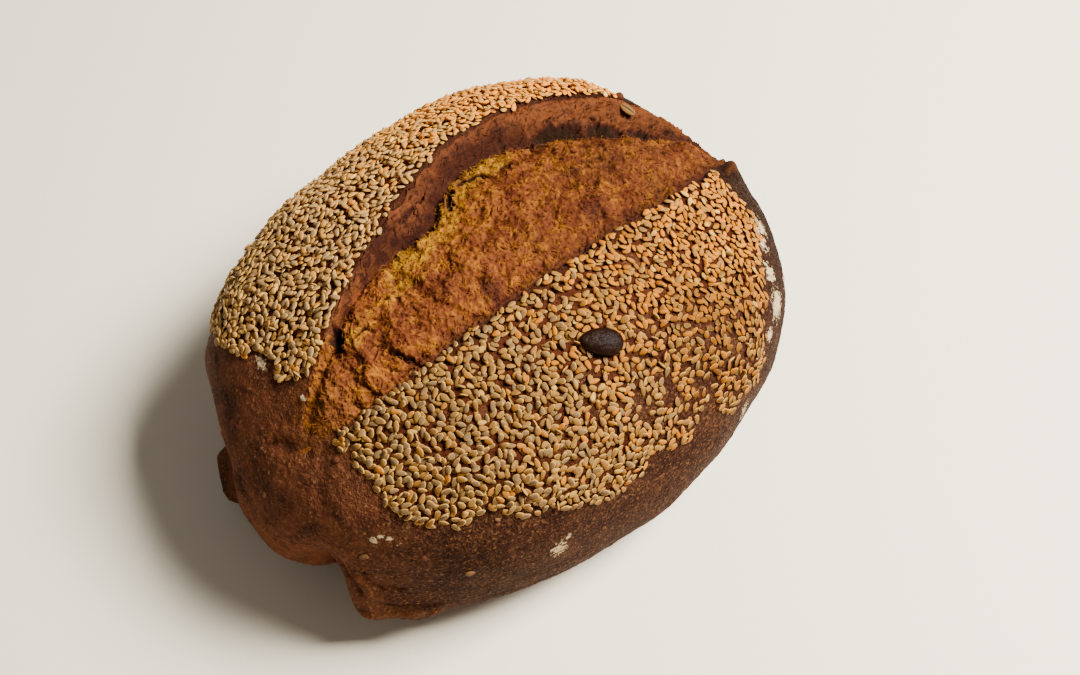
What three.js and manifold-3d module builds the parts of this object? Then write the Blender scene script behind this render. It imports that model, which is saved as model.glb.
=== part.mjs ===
// A hand-shaped chickpea bread loaf, baked dark, with one long score that burst open in the oven.
// It is one solid, with sesame fused to its crust, and one pumpkin seed that lies on top.
//
// Units are millimetres. X runs along the loaf, from the notched end (-X) to the far end (+X).
// Y runs across it, towards the raised side of the score. Z is up, and Z = 0 is where it rests.

import * as THREE from 'three';
import { mergeVertices } from 'three/addons/utils/BufferGeometryUtils.js';
import Module from 'manifold-3d';

// ---------------------------------------------------------------- driving dimensions

// The plain body, before the score and the folds.
const BODY = {
  widestX: -18, // station with the widest section
  farReach: 110, // widest station to the far end
  notchedReach: 74, // widest station to the notched end
  halfWidth: 69.3,
  widening: 0.0018, // share of the width gained for each mm towards the far end
  height: 85,
  equator: 32.3, // height of the widest level
  underReach: 42.5, // reach of the lower half, most of which the floor flattens
  planPower: 2.2, // superellipse powers of the plan, the end profile and the section
  profilePower: 2.3,
  sectionPower: 2.5,
  floorRounding: 2.5, // half height of the blend between the flank and the flat bottom
  farFlankSwell: { height: 1.0, across: [20, 50], above: [15, 40] }, // slight fullness of a flank
  nearFlankSwell: { height: 0.8, across: [20, 50], above: [5, 20] },
};

// The score: a near lip, torn crumb, a valley, and a wall up to the crest of the raised side.
const SCORE = {
  notchedTipX: -77,
  farTipX: 85.5,
  lipY: -17.3, // the near lip, nearly straight
  lipBow: 8, // how far the lip bends back towards the middle, bowReach from bowCentreX
  bowCentreX: 5,
  bowReach: 80,
  crestSpan: 121, // scale, rise and fall of the crest's distance from the lip
  crestRise: 0.87,
  crestFall: 0.44,
  wallWidth: 3, // plan distance from valley to crest at the notched end
  wallMiddleGain: 1.5, // what is added to it from the middle on
  wallFarGain: 18, // what the far end adds
  wallBulge: 5, // and a bulge near the middle
  depth: 5, // valley below the plain body
  lift: 4.5, // crest above it
  liftReach: 13, // length of the slope behind the crest
  crumbCrown: 2.2,
  lipRoll: 0.8, // rounded edge of the near lip, and how far back it starts
  lipRollReach: 6,
  lipGroove: 2, // depth of the groove inside the lip
  lipGrooveReach: 3, // its distance from the lip, and its half width
  fadeAbove: 12, // height over the widest level at which the relief is full
  notchedFade: 0.14, // share of the score over which it shallows out at each tip
  farFade: 0.07,
  horn: { x: 83, y: -12, height: 3, reach: 5 }, // small peak where the lip ends
};

// Folds of the notched end, at plan angles in degrees about a point inside that end. Each pushes
// the crust out, or in where its reach is negative, and fades between two heights.
const FOLD_CENTRE = { x: -40, y: -10, fadeX: 25, above: [-10, 10] };
const FOLDS = {
  notch: { reach: -10.5, angle: 18.8, halfAngle: 6.5, fullBelow: 24, goneAbove: 56 },
  shoulder: { reach: -3, angle: 9, halfAngle: 8, fullBelow: 20, goneAbove: 50 },
  lobe: { reach: 5.5, angle: 34, halfAngle: 8, fullBelow: 14, goneAbove: 46 },
  heel: { reach: 4.5, angle: 49, halfAngle: 9, fullBelow: 8, goneAbove: 36 },
};

// A low tucked lip on the other side of that end, and the dent above it, over a range of angles.
const TUCK = { reach: 10, height: 10, halfHeight: 7, rise: [-54, -44], fall: [-33, -24] };
const DENT = { reach: -6, height: 33, halfHeight: 15, rise: [-60, -46], fall: [-28, -16] };

// Gentle unevenness of the crust: broad and small waves, whose lengths are in mm per radian.
const LUMPS = {
  height: 0.7,
  smallShare: 0.57,
  broad: { x: 13, y: 11, z: 17, phaseX: 1.1, phaseY: 0.4 },
  small: { x: 7.3, y: 9.1, z: 8.7, drift: 15 },
  above: [-5, 15],
};

// Grid of the loaf's surface. Rows follow the crest, the valley and the lip.
const STATIONS = 52;
const CROWDING = 1.15; // how much closer the stations are at the notched end
const ROWS = { farFlank: 6, wall: 3, crumb: 6, nearFlank: 8, nearFoot: 5, floor: 5, farFoot: 5 };
const FOOT_ANGLE = 0.26 * Math.PI; // from the widest level down to the floor
const FLATTEST_SHARE = 0.8; // share of the half width past which no row is placed by its Y
const LEAST_SPAN = 0.2; // least room between the lip's and the crest's row, of the half width
const LEAST_WALL = 0.16; // and least room between the valley's and the crest's, of that span
const END_ANGLE = 1e-4; // how near the two ends the surface is worked out
const NORMAL_STEP = 0.004; // step over which its slope is taken

// Sesame: true size, few sides, spread evenly over two patches of crust.
const SESAME = {
  length: 3.2,
  width: 2.0,
  thickness: 1.1,
  taper: 0.22, // how much the pointed end narrows
  peakBack: 0.1, // how far the highest point lies behind the middle, of the length
  proud: 0.3, // rim above the crust
  spacing: 5.6,
  sides: 6,
  tries: 30000,
  seed: 20,
};
const PATCH = {
  notchedEndX: -67,
  farEndX: 73,
  lowestZ: 51, // lower edge at its lowest
  lowestX: 12,
  edgeRise: 14, // how much higher the edge is towards the ends
  edgeSpan: 70,
  edgePower: 1.3,
  bareEnds: 0.06, // share of the loaf at each end that is never tried
  scoreMargin: 2, // bare strip beside the score
  pumpkinMargin: 2.5,
};

// The pumpkin seed, on the crust beside the score.
const PUMPKIN = {
  x: 2.8,
  y: -40.3,
  length: 12,
  width: 7.6,
  thickness: 2.8,
  headingX: -0.75, // plan direction in which its narrow end points
  headingY: 0.66,
  gap: 0.35,
  taper: 0.16, // how much that end narrows
  outlinePower: 0.9, // roundness of its outline, its profile and its section
  profilePower: 0.7,
  sectionPower: 1.6,
  stations: 14,
  sides: 16,
};

// ---------------------------------------------------------------- small helpers

/** Smooth step from 0 at low to 1 at high. */
function smooth(low, high, value) {
  const u = THREE.MathUtils.clamp((value - low) / (high - low), 0, 1);
  return u * u * (3 - 2 * u);
}

/** Bell curve of height 1 about centre. */
function bell(value, centre, reach) {
  return Math.exp(-(((value - centre) / reach) ** 2));
}

/** Superellipse coordinate: the value raised to 2 / power, with its sign kept. */
function superCoordinate(value, power) {
  return Math.sign(value) * Math.abs(value) ** (2 / power);
}

/** The larger of two positive sizes, with a soft change from one to the other. */
function softMax(first, second) {
  return (Math.max(first, 0) ** 6 + second ** 6) ** (1 / 6);
}

/** The smaller of two positive sizes, with a soft change from one to the other. */
function softMin(first, second) {
  return (first ** -4 + Math.max(second, 0.01) ** -4) ** -0.25;
}

/** Repeatable random numbers from 0 to 1. */
function makeRandom(seed) {
  let state = seed;
  return () => {
    state = (state + 0x6d2b79f5) | 0;
    let mixed = Math.imul(state ^ (state >>> 15), 1 | state);
    mixed = (mixed + Math.imul(mixed ^ (mixed >>> 7), 61 | mixed)) ^ mixed;
    return ((mixed ^ (mixed >>> 14)) >>> 0) / 4294967296;
  };
}

// ---------------------------------------------------------------- the plain body

/** X of the station at an angle of 0 (far end) to PI (notched end). */
function stationX(along) {
  const reach = superCoordinate(Math.cos(along), BODY.planPower);
  return BODY.widestX + reach * (reach > 0 ? BODY.farReach : BODY.notchedReach);
}

/** Half the width of the plain body at a station. */
function stationHalfWidth(along) {
  const widening = 1 + BODY.widening * (stationX(along) - BODY.widestX);
  return BODY.halfWidth * widening * Math.sin(along) ** (2 / BODY.planPower);
}

/** A point of the plain body: stations along it, and an angle round each from the +Y side up. */
function bodyPoint(along, around) {
  const rise = superCoordinate(Math.sin(around), BODY.sectionPower)
    * Math.sin(along) ** (2 / BODY.profilePower);
  const reach = rise > 0 ? BODY.height - BODY.equator : BODY.underReach;
  return new THREE.Vector3(
    stationX(along),
    stationHalfWidth(along) * superCoordinate(Math.cos(around), BODY.sectionPower),
    BODY.equator + rise * reach,
  );
}

/** Outward direction of a surface given as a function of the two angles. */
function outwardNormal(surface, along, around) {
  const before = Math.max(along - NORMAL_STEP, END_ANGLE);
  const after = Math.min(along + NORMAL_STEP, Math.PI - END_ANGLE);
  const lengthwise = surface(after, around).sub(surface(before, around));
  const crosswise = surface(along, around + NORMAL_STEP).sub(surface(along, around - NORMAL_STEP));
  return lengthwise.cross(crosswise).normalize();
}

// ---------------------------------------------------------------- relief

/** Y of the near lip, where the crumb meets the crust on the -Y side. */
function lipY(x) {
  return SCORE.lipY + SCORE.lipBow * Math.abs((x - SCORE.bowCentreX) / SCORE.bowReach) ** 4;
}

/** Place along the score, from 0 at its notched tip to 1 at its far tip. */
function scoreShare(x) {
  return THREE.MathUtils.clamp((x - SCORE.notchedTipX) / (SCORE.farTipX - SCORE.notchedTipX), 0, 1);
}

/** Plan distance from the lip to the crest. */
function crestSpan(x) {
  const share = scoreShare(x);
  return SCORE.crestSpan * share ** SCORE.crestRise * (1 - share) ** SCORE.crestFall;
}

/** Plan distance from the valley to the crest. */
function wallWidth(x) {
  const width = SCORE.wallWidth + SCORE.wallMiddleGain * smooth(-35, -15, x)
    + SCORE.wallFarGain * smooth(15, 80, x) + SCORE.wallBulge * bell(x, -8, 8);
  return softMin(width, 0.5 * crestSpan(x));
}

/** Height of the opened score over the plain body, along its normal. */
function scoreRelief(x, y) {
  const share = scoreShare(x);
  const fade = smooth(0, SCORE.notchedFade, share) * smooth(0, SCORE.farFade, 1 - share);
  const depth = SCORE.depth * Math.sin(Math.PI * share) ** 0.5;
  const lift = SCORE.lift * Math.sin(Math.PI * share ** 0.75) ** 0.6;
  const lip = lipY(x);
  const crest = lip + crestSpan(x);
  const valley = crest - wallWidth(x);
  const { horn } = SCORE;
  const peak = horn.height * bell(x, horn.x, horn.reach) * bell(y, horn.y, horn.reach);
  const groove = SCORE.lipGroove * bell(y, lip + SCORE.lipGrooveReach, SCORE.lipGrooveReach);
  let height = 0;
  if (y < lip) {
    height = SCORE.lipRoll * Math.exp((y - lip) / SCORE.lipRollReach) - groove;
  } else if (y < valley) {
    const across = (y - lip) / (valley - lip);
    height = SCORE.crumbCrown * Math.sin(Math.PI * across ** 0.8) - depth * across ** 3
      + SCORE.lipRoll * (1 - smooth(0, 0.1, across)) - groove;
  } else if (y < crest) {
    const across = (y - valley) / (crest - valley);
    height = (depth + lift) * (across * across * (3 - 2 * across)) ** 0.9 - depth;
  } else {
    height = lift * Math.exp((crest - y) / SCORE.liftReach);
  }
  return height * fade + peak;
}

/** Push of the folds at the notched end, away from the point that their angles are taken about. */
function foldPush(point) {
  const dx = point.x - FOLD_CENTRE.x;
  const dy = point.y - FOLD_CENTRE.y;
  const angle = THREE.MathUtils.radToDeg(Math.atan2(-dy, -dx));
  let push = 0;
  for (const fold of Object.values(FOLDS)) {
    push += fold.reach * bell(angle, fold.angle, fold.halfAngle)
      * smooth(...FOLD_CENTRE.above, point.z) * (1 - smooth(fold.fullBelow, fold.goneAbove, point.z));
  }
  for (const band of [TUCK, DENT]) {
    push += band.reach * bell(point.z, band.height, band.halfHeight)
      * smooth(...band.rise, angle) * (1 - smooth(...band.fall, angle));
  }
  push *= smooth(0, FOLD_CENTRE.fadeX, -dx);
  return new THREE.Vector3(dx, dy, 0).normalize().multiplyScalar(push);
}

/** Gentle unevenness of the whole crust. */
function lumps(point) {
  const { x, y, z } = point;
  const { broad, small } = LUMPS;
  const broadWave = Math.sin(x / broad.x + broad.phaseX)
    * Math.sin(y / broad.y + z / broad.z + broad.phaseY);
  const smallWave = Math.sin(x / small.x + y / small.y) * Math.cos(z / small.z + x / small.drift);
  return LUMPS.height * (broadWave + LUMPS.smallShare * smallWave) * smooth(...LUMPS.above, z);
}

/** Fullness of a flank, growing across the loaf and with height. */
function flankSwell(swell, across, z) {
  return swell.height * smooth(...swell.across, across) * smooth(...swell.above, z);
}

/** Height above the floor, with the part below it flattened and the change rounded. */
function aboveFloor(z) {
  const blend = BODY.floorRounding;
  if (z > blend) return z;
  return z < -blend ? 0 : (z + blend) ** 2 / (4 * blend);
}

/** A point of the finished loaf. */
function loafPoint(along, around) {
  const point = bodyPoint(along, around);
  const { x, y, z } = point;
  const relief = scoreRelief(x, y) * smooth(BODY.equator, BODY.equator + SCORE.fadeAbove, z)
    + flankSwell(BODY.farFlankSwell, y, z) + flankSwell(BODY.nearFlankSwell, -y, z)
    + lumps(point);
  point.addScaledVector(outwardNormal(bodyPoint, along, around), relief);
  point.add(foldPush(new THREE.Vector3(x, y, z)));
  point.z = aboveFloor(point.z);
  return point;
}

// ---------------------------------------------------------------- closed surfaces

/** Angle round a station at which the plain body has a given Y. */
function angleAtY(y, halfWidth) {
  const share = THREE.MathUtils.clamp(y / halfWidth, -FLATTEST_SHARE, FLATTEST_SHARE);
  return Math.acos(superCoordinate(share, 4 / BODY.sectionPower));
}

/** Angles round a station, with rows on the crest, the valley and the lip. */
function ringAngles(along) {
  const x = stationX(along);
  const halfWidth = stationHalfWidth(along);
  const lip = lipY(x);
  const span = softMax(crestSpan(x), LEAST_SPAN * halfWidth);
  const wall = Math.min(softMax(wallWidth(x), LEAST_WALL * span), 0.5 * span);
  const stops = [
    0,
    angleAtY(lip + span, halfWidth),
    angleAtY(lip + span - wall, halfWidth),
    angleAtY(lip, halfWidth),
    Math.PI,
    Math.PI + FOOT_ANGLE,
    2 * Math.PI - FOOT_ANGLE,
    2 * Math.PI,
  ];
  return Object.values(ROWS).flatMap((count, part) => (
    Array.from({ length: count }, (_, i) => (
      THREE.MathUtils.lerp(stops[part], stops[part + 1], i / count)))
  ));
}

/** Closed geometry from rings of points between two end points. */
function closedSkin(rings, startPoint, endPoint) {
  const sides = rings[0].length;
  const points = [startPoint, ...rings.flat(), endPoint];
  const faces = [];
  for (let j = 0; j < sides; j += 1) {
    const next = (j + 1) % sides;
    faces.push(0, 1 + j, 1 + next);
    for (let i = 0; i < rings.length - 1; i += 1) {
      const here = 1 + i * sides;
      const there = here + sides;
      faces.push(here + j, there + j, there + next);
      faces.push(here + j, there + next, here + next);
    }
    const last = 1 + (rings.length - 1) * sides;
    faces.push(last + next, last + j, points.length - 1);
  }
  const positions = points.flatMap((point) => point.toArray());
  const geometry = new THREE.BufferGeometry();
  geometry.setAttribute('position', new THREE.Float32BufferAttribute(positions, 3));
  geometry.setIndex(faces);
  return geometry;
}

/** The loaf without its seeds. */
function loafCore() {
  const rings = [];
  for (let i = 1; i < STATIONS; i += 1) {
    const along = Math.PI * (1 - (1 - i / STATIONS) ** CROWDING);
    rings.push(ringAngles(along).map((around) => loafPoint(along, around)));
  }
  const farEnd = loafPoint(END_ANGLE, 0);
  const notchedEnd = loafPoint(Math.PI - END_ANGLE, 0);
  return closedSkin(rings, farEnd, notchedEnd);
}

// ---------------------------------------------------------------- seeds

/** Frame that stands on the loaf: Z along its normal, X along a plan heading. */
function crustFrame(along, around, headingX, headingY, height) {
  const normal = outwardNormal(loafPoint, along, around);
  const heading = new THREE.Vector3(headingX, headingY, 0);
  const across = normal.clone().cross(heading).normalize();
  const forward = across.clone().cross(normal);
  const frame = new THREE.Matrix4().makeBasis(forward, across, normal);
  return frame.setPosition(loafPoint(along, around).addScaledVector(normal, height));
}

/** A teardrop sesame seed, pointed towards +X, lying in the XY plane, with a root into the crust. */
function sesameGeometry() {
  const rim = Array.from({ length: SESAME.sides }, (_, i) => {
    const turn = (2 * Math.PI * i) / SESAME.sides;
    const taper = 1 - SESAME.taper * Math.cos(turn);
    return new THREE.Vector3(
      0.5 * SESAME.length * Math.cos(turn),
      0.5 * SESAME.width * Math.sin(turn) * taper,
      0,
    );
  });
  const top = new THREE.Vector3(-SESAME.peakBack * SESAME.length, 0, 0.5 * SESAME.thickness);
  const root = new THREE.Vector3(0, 0, -SESAME.thickness);
  return closedSkin([rim], top, root);
}

/** Whether the crust has sesame there: two patches, each side of the score. */
function hasSesame(point) {
  const { x, y, z } = point;
  if (x < PATCH.notchedEndX || x > PATCH.farEndX) return false;
  const fromPumpkin = Math.hypot(x - PUMPKIN.x, y - PUMPKIN.y) - 0.5 * PUMPKIN.length;
  if (fromPumpkin < PATCH.pumpkinMargin) return false;
  const edgeShare = Math.abs(x - PATCH.lowestX) / PATCH.edgeSpan;
  if (z < PATCH.lowestZ + PATCH.edgeRise * edgeShare ** PATCH.edgePower) return false;
  const lip = lipY(x);
  return y < lip - PATCH.scoreMargin || y > lip + crestSpan(x) + PATCH.scoreMargin;
}

/** Frames of the fused sesame seeds, no two nearer than the spacing. */
function sesameFrames() {
  const random = makeRandom(SESAME.seed);
  const frames = [];
  const places = [];
  for (let i = 0; i < SESAME.tries; i += 1) {
    const along = Math.PI * THREE.MathUtils.lerp(PATCH.bareEnds, 1 - PATCH.bareEnds, random());
    const around = Math.PI * random();
    const turn = 2 * Math.PI * random();
    const place = bodyPoint(along, around);
    const crowded = places.some((other) => other.distanceTo(place) < SESAME.spacing);
    if (hasSesame(place) && !crowded) {
      places.push(place);
      frames.push(crustFrame(along, around, Math.cos(turn), Math.sin(turn), SESAME.proud));
    }
  }
  return frames;
}

/** The pumpkin seed: a flat oval with one pointed end, and a raised middle. */
function pumpkinSeedGeometry() {
  const rings = [];
  for (let i = 1; i < PUMPKIN.stations; i += 1) {
    const turn = (Math.PI * i) / PUMPKIN.stations;
    const x = 0.5 * PUMPKIN.length * Math.cos(turn);
    const taper = 1 - PUMPKIN.taper * Math.cos(turn);
    const halfWidth = 0.5 * PUMPKIN.width * Math.sin(turn) ** PUMPKIN.outlinePower * taper;
    const halfHeight = 0.5 * PUMPKIN.thickness * Math.sin(turn) ** PUMPKIN.profilePower;
    rings.push(Array.from({ length: PUMPKIN.sides }, (_, j) => {
      const side = (2 * Math.PI * j) / PUMPKIN.sides;
      return new THREE.Vector3(
        x,
        halfWidth * Math.cos(side),
        halfHeight * superCoordinate(Math.sin(side), PUMPKIN.sectionPower),
      );
    }));
  }
  const point = new THREE.Vector3(0.5 * PUMPKIN.length, 0, 0);
  const blunt = new THREE.Vector3(-0.5 * PUMPKIN.length, 0, 0);
  return closedSkin(rings, point, blunt);
}

/** Angles of the plain body's upper point nearest a plan position. */
function anglesAt(x, y) {
  const reach = (x - BODY.widestX) / (x > BODY.widestX ? BODY.farReach : BODY.notchedReach);
  const along = Math.acos(superCoordinate(reach, 4 / BODY.planPower));
  return { along, around: angleAtY(y, stationHalfWidth(along)) };
}

// ---------------------------------------------------------------- joining and the model

const MERGE_DISTANCE = 1e-5;
const wasm = await Module();
wasm.setup();

/** A closed three.js geometry as a manifold solid. */
function toSolid(geometry) {
  const merged = mergeVertices(geometry, MERGE_DISTANCE);
  const vertProperties = new Float32Array(merged.attributes.position.array);
  const triVerts = new Uint32Array(merged.index.array);
  return new wasm.Manifold(new wasm.Mesh({ numProp: 3, vertProperties, triVerts }));
}

/** A manifold solid as a three.js geometry. */
function toGeometry(solid) {
  const mesh = solid.getMesh();
  const geometry = new THREE.BufferGeometry();
  geometry.setAttribute('position', new THREE.BufferAttribute(mesh.vertProperties, 3));
  geometry.setIndex(new THREE.BufferAttribute(mesh.triVerts, 1));
  return geometry;
}

/** The loaf with its sesame fused on. */
function loafMesh() {
  let solid = toSolid(loafCore());
  const seed = sesameGeometry();
  for (const frame of sesameFrames()) {
    solid = solid.add(toSolid(seed.clone().applyMatrix4(frame)));
  }
  const crust = new THREE.MeshStandardMaterial({ color: 0x6b3a1c, roughness: 0.75, metalness: 0 });
  const mesh = new THREE.Mesh(toGeometry(solid), crust);
  mesh.name = 'loaf';
  return mesh;
}

/** The pumpkin seed where it lies on the crust. */
function pumpkinSeedMesh() {
  const husk = new THREE.MeshStandardMaterial({ color: 0x2a1c12, roughness: 0.55, metalness: 0 });
  const mesh = new THREE.Mesh(pumpkinSeedGeometry(), husk);
  const { along, around } = anglesAt(PUMPKIN.x, PUMPKIN.y);
  const height = PUMPKIN.gap + 0.5 * PUMPKIN.thickness;
  const frame = crustFrame(along, around, PUMPKIN.headingX, PUMPKIN.headingY, height);
  mesh.applyMatrix4(frame);
  mesh.name = 'pumpkin_seed';
  return mesh;
}

const model = new THREE.Group();
model.add(loafMesh());
model.add(pumpkinSeedMesh());

export default model;
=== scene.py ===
"""A chickpea bread loaf: dark seeded crust, one long score that burst open, and a pumpkin seed.

The shape formulas are in millimetres and are those of the loaf's solid. make_piece turns them
into metres. X runs along the loaf, Y across it towards the raised side of the score, Z is up.
"""

import math
from functools import partial, reduce
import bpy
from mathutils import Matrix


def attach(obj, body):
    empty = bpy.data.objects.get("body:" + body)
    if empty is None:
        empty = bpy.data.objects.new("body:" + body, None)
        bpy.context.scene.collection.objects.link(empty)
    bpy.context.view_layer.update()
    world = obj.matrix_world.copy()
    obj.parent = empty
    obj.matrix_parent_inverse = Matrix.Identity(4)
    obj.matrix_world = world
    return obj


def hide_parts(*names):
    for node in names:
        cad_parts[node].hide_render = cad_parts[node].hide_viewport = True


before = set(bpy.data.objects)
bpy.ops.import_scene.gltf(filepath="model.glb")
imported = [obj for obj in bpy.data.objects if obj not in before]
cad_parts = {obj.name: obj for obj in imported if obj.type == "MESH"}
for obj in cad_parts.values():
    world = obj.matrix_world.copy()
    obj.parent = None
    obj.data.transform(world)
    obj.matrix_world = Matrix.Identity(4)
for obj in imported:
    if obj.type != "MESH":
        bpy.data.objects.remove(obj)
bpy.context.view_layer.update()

from types import SimpleNamespace as Sizes

import bpy
import numpy as np
from bpy.props import FloatProperty, FloatVectorProperty, IntProperty, PointerProperty
from mathutils import Vector

bl_info = {
    "name": "Chickpea Bread Loaf",
    "version": (1, 0, 0),
    "blender": (4, 5, 0),
    "location": "View3D > Sidebar > Bread",
    "description": "Builds a seeded hearth loaf around its solid",
    "category": "Add Mesh",
}

MM = 0.001

# ---------------------------------------------------------------- sizes of the loaf, in mm

BODY = Sizes(
    widest_x=-18, far_reach=110, notched_reach=74, half_width=69.3, widening=0.0018,
    height=85, equator=32.3, under_reach=42.5, floor_rounding=2.5,
    plan_power=2.2, profile_power=2.3, section_power=2.5,
)
FAR_SWELL = Sizes(height=1.0, across=(20, 50), above=(15, 40))
NEAR_SWELL = Sizes(height=0.8, across=(20, 50), above=(5, 20))

SCORE = Sizes(
    notched_tip_x=-77, far_tip_x=85.5, lip_y=-17.3, lip_bow=8, bow_centre_x=5, bow_reach=80,
    crest_span=121, crest_rise=0.87, crest_fall=0.44,
    wall_width=3, wall_middle_gain=1.5, wall_far_gain=18, wall_bulge=5,
    depth=5, lift=4.5, lift_reach=13, crumb_crown=2.2,
    lip_roll=0.8, lip_roll_reach=6, lip_groove=2, lip_groove_reach=3,
    fade_above=12, notched_fade=0.14, far_fade=0.07,
)
HORN = Sizes(x=83, y=-12, height=3, reach=5)

FOLD_CENTRE = Sizes(x=-40, y=-10, fade_x=25, above=(-10, 10))
FOLDS = (
    Sizes(reach=-10.5, angle=18.8, half_angle=6.5, full_below=24, gone_above=56),
    Sizes(reach=-3, angle=9, half_angle=8, full_below=20, gone_above=50),
    Sizes(reach=5.5, angle=34, half_angle=8, full_below=14, gone_above=46),
    Sizes(reach=4.5, angle=49, half_angle=9, full_below=8, gone_above=36),
)
TUCKS = (
    Sizes(reach=10, height=10, half_height=7, rise=(-54, -44), fall=(-33, -24)),
    Sizes(reach=-6, height=33, half_height=15, rise=(-60, -46), fall=(-28, -16)),
)

END_ANGLE = 1e-4
NORMAL_STEP = 0.004
FLATTEST_SHARE = 0.8

# Rows round the crust, and stations along it.
CRUST_STATIONS = 330
CRUST_CROWDING = 1.15
CRUST_ROWS = (66, 16, 6, 14, 16, 86, 34, 14, 36)
EDGE_BAND = 3.0
FOOT_ANGLE = 0.26 * math.pi

# The crumb lies in a shallow bed in the crust, and is tucked under both of its edges.
CRUMB_STATIONS = 480
CRUMB_ROWS = 180
CRUMB_UNDER_ROWS = 14
BED_DEPTH = 2.6
TUCK_UNDER = 2.2
EDGE_DROP = 0.7
TIP_FILL = 4.4


# ---------------------------------------------------------------- small helpers


def smooth(low, high, value):
    """Smooth step from 0 at low to 1 at high."""
    u = np.clip((value - low) / (high - low), 0, 1)
    return u * u * (3 - 2 * u)


def bell(value, centre, reach):
    """Bell curve of height 1 about centre."""
    return np.exp(-(((value - centre) / reach) ** 2))


def super_coordinate(value, power):
    """Superellipse coordinate: the value raised to 2 / power, with its sign kept."""
    return np.sign(value) * np.abs(value) ** (2 / power)


def soft_max(first, second):
    """The larger of two sizes, with a soft change from one to the other."""
    return (np.maximum(first, 0) ** 6 + second**6) ** (1 / 6)


def soft_min(first, second):
    """The smaller of two sizes, with a soft change from one to the other."""
    return (first**-4.0 + np.maximum(second, 0.01) ** -4.0) ** -0.25


def unit(vectors):
    """The same directions with length 1."""
    return vectors / np.maximum(np.linalg.norm(vectors, axis=-1, keepdims=True), 1e-9)


def on_plan(x, y):
    """Points or directions with these plan coordinates and height 0."""
    return np.stack([x, y, 0 * x], -1)


def lattice(corner, seed):
    """Repeatable numbers from -1 to 1, one for each whole-number corner (N, 3) of a lattice."""
    mixed = corner.astype(np.int64).astype(np.uint32)
    mixed = mixed * np.array([374761393, 668265263, 2147483647], np.uint32)
    mixed = mixed[..., 0] ^ (mixed[..., 1] << np.uint32(7)) ^ (mixed[..., 2] >> np.uint32(3))
    mixed = mixed + np.uint32(seed * 974711 % 2**32)
    mixed = (mixed ^ (mixed >> np.uint32(15))) * np.uint32(2246822519)
    mixed = (mixed ^ (mixed >> np.uint32(13))) * np.uint32(3266489917)
    return (mixed ^ (mixed >> np.uint32(16))).astype(np.float64) / 2**31 - 1


def noise(points, cell, seed=0):
    """Gradient noise, about -1 to 1: each corner of a lattice of cells has a random slope, and
    the eight slopes round a point are blended with a quintic ease."""
    scaled = points / cell
    base = np.floor(scaled)
    offset = scaled - base
    ease = offset**3 * (offset * (offset * 6 - 15) + 10)
    total = np.zeros(points.shape[:-1])
    for i in (0, 1):
        for j in (0, 1):
            for k in (0, 1):
                step = np.array([i, j, k])
                slope = np.stack([lattice(base + step, 3 * seed + axis) for axis in range(3)], -1)
                weight = np.prod(np.where(step == 1, ease, 1 - ease), axis=-1)
                total += weight * np.sum(slope * (offset - step), axis=-1)
    return 1.6 * total


def warp(points, cell, seed):
    """Three values of gradient noise at each point, to move it by."""
    return np.stack([noise(points, cell, seed + i) for i in range(3)], -1)


def ridges(points, cell, seed=0):
    """Thin crests from 0 to 1 where gradient noise passes through zero."""
    return 1 - np.clip(np.abs(noise(points, cell, seed)) * 1.7, 0, 1)


# ---------------------------------------------------------------- the loaf's surface


def station_x(along):
    """X of the station at an angle of 0 (far end) to pi (notched end)."""
    reach = super_coordinate(np.cos(along), BODY.plan_power)
    return BODY.widest_x + reach * np.where(reach > 0, BODY.far_reach, BODY.notched_reach)


def station_half_width(along):
    """Half the width of the plain body at a station."""
    widening = 1 + BODY.widening * (station_x(along) - BODY.widest_x)
    return BODY.half_width * widening * np.sin(along) ** (2 / BODY.plan_power)


def body_point(along, around):
    """The plain body: a superellipse in plan, profile and section, flatter below its equator."""
    rise = super_coordinate(np.sin(around), BODY.section_power)
    rise = rise * np.sin(along) ** (2 / BODY.profile_power)
    reach = np.where(rise > 0, BODY.height - BODY.equator, BODY.under_reach)
    across = station_half_width(along) * super_coordinate(np.cos(around), BODY.section_power)
    parts = np.broadcast_arrays(station_x(along), across, BODY.equator + rise * reach)
    return np.stack(parts, -1)


def outward_normal(surface, along, around):
    """Cross product of the two directions of a surface, taken over a small step."""
    before = np.maximum(along - NORMAL_STEP, END_ANGLE)
    after = np.minimum(along + NORMAL_STEP, math.pi - END_ANGLE)
    lengthwise = surface(after, around) - surface(before, around)
    crosswise = surface(along, around + NORMAL_STEP) - surface(along, around - NORMAL_STEP)
    return unit(np.cross(lengthwise, crosswise))


def lip_y(x):
    """Y of the near lip, where the crumb meets the crust on the -Y side."""
    return SCORE.lip_y + SCORE.lip_bow * np.abs((x - SCORE.bow_centre_x) / SCORE.bow_reach) ** 4


def score_share(x):
    """Place along the score, from 0 at its notched tip to 1 at its far tip."""
    return np.clip((x - SCORE.notched_tip_x) / (SCORE.far_tip_x - SCORE.notched_tip_x), 0, 1)


def crest_span(x):
    """Plan distance from the lip to the crest."""
    share = score_share(x)
    return SCORE.crest_span * share**SCORE.crest_rise * (1 - share) ** SCORE.crest_fall


def wall_width(x):
    """Plan distance from the valley to the crest."""
    width = SCORE.wall_width + SCORE.wall_middle_gain * smooth(-35, -15, x)
    width = width + SCORE.wall_far_gain * smooth(15, 80, x) + SCORE.wall_bulge * bell(x, -8, 8)
    return soft_min(width, 0.5 * crest_span(x))


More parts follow.
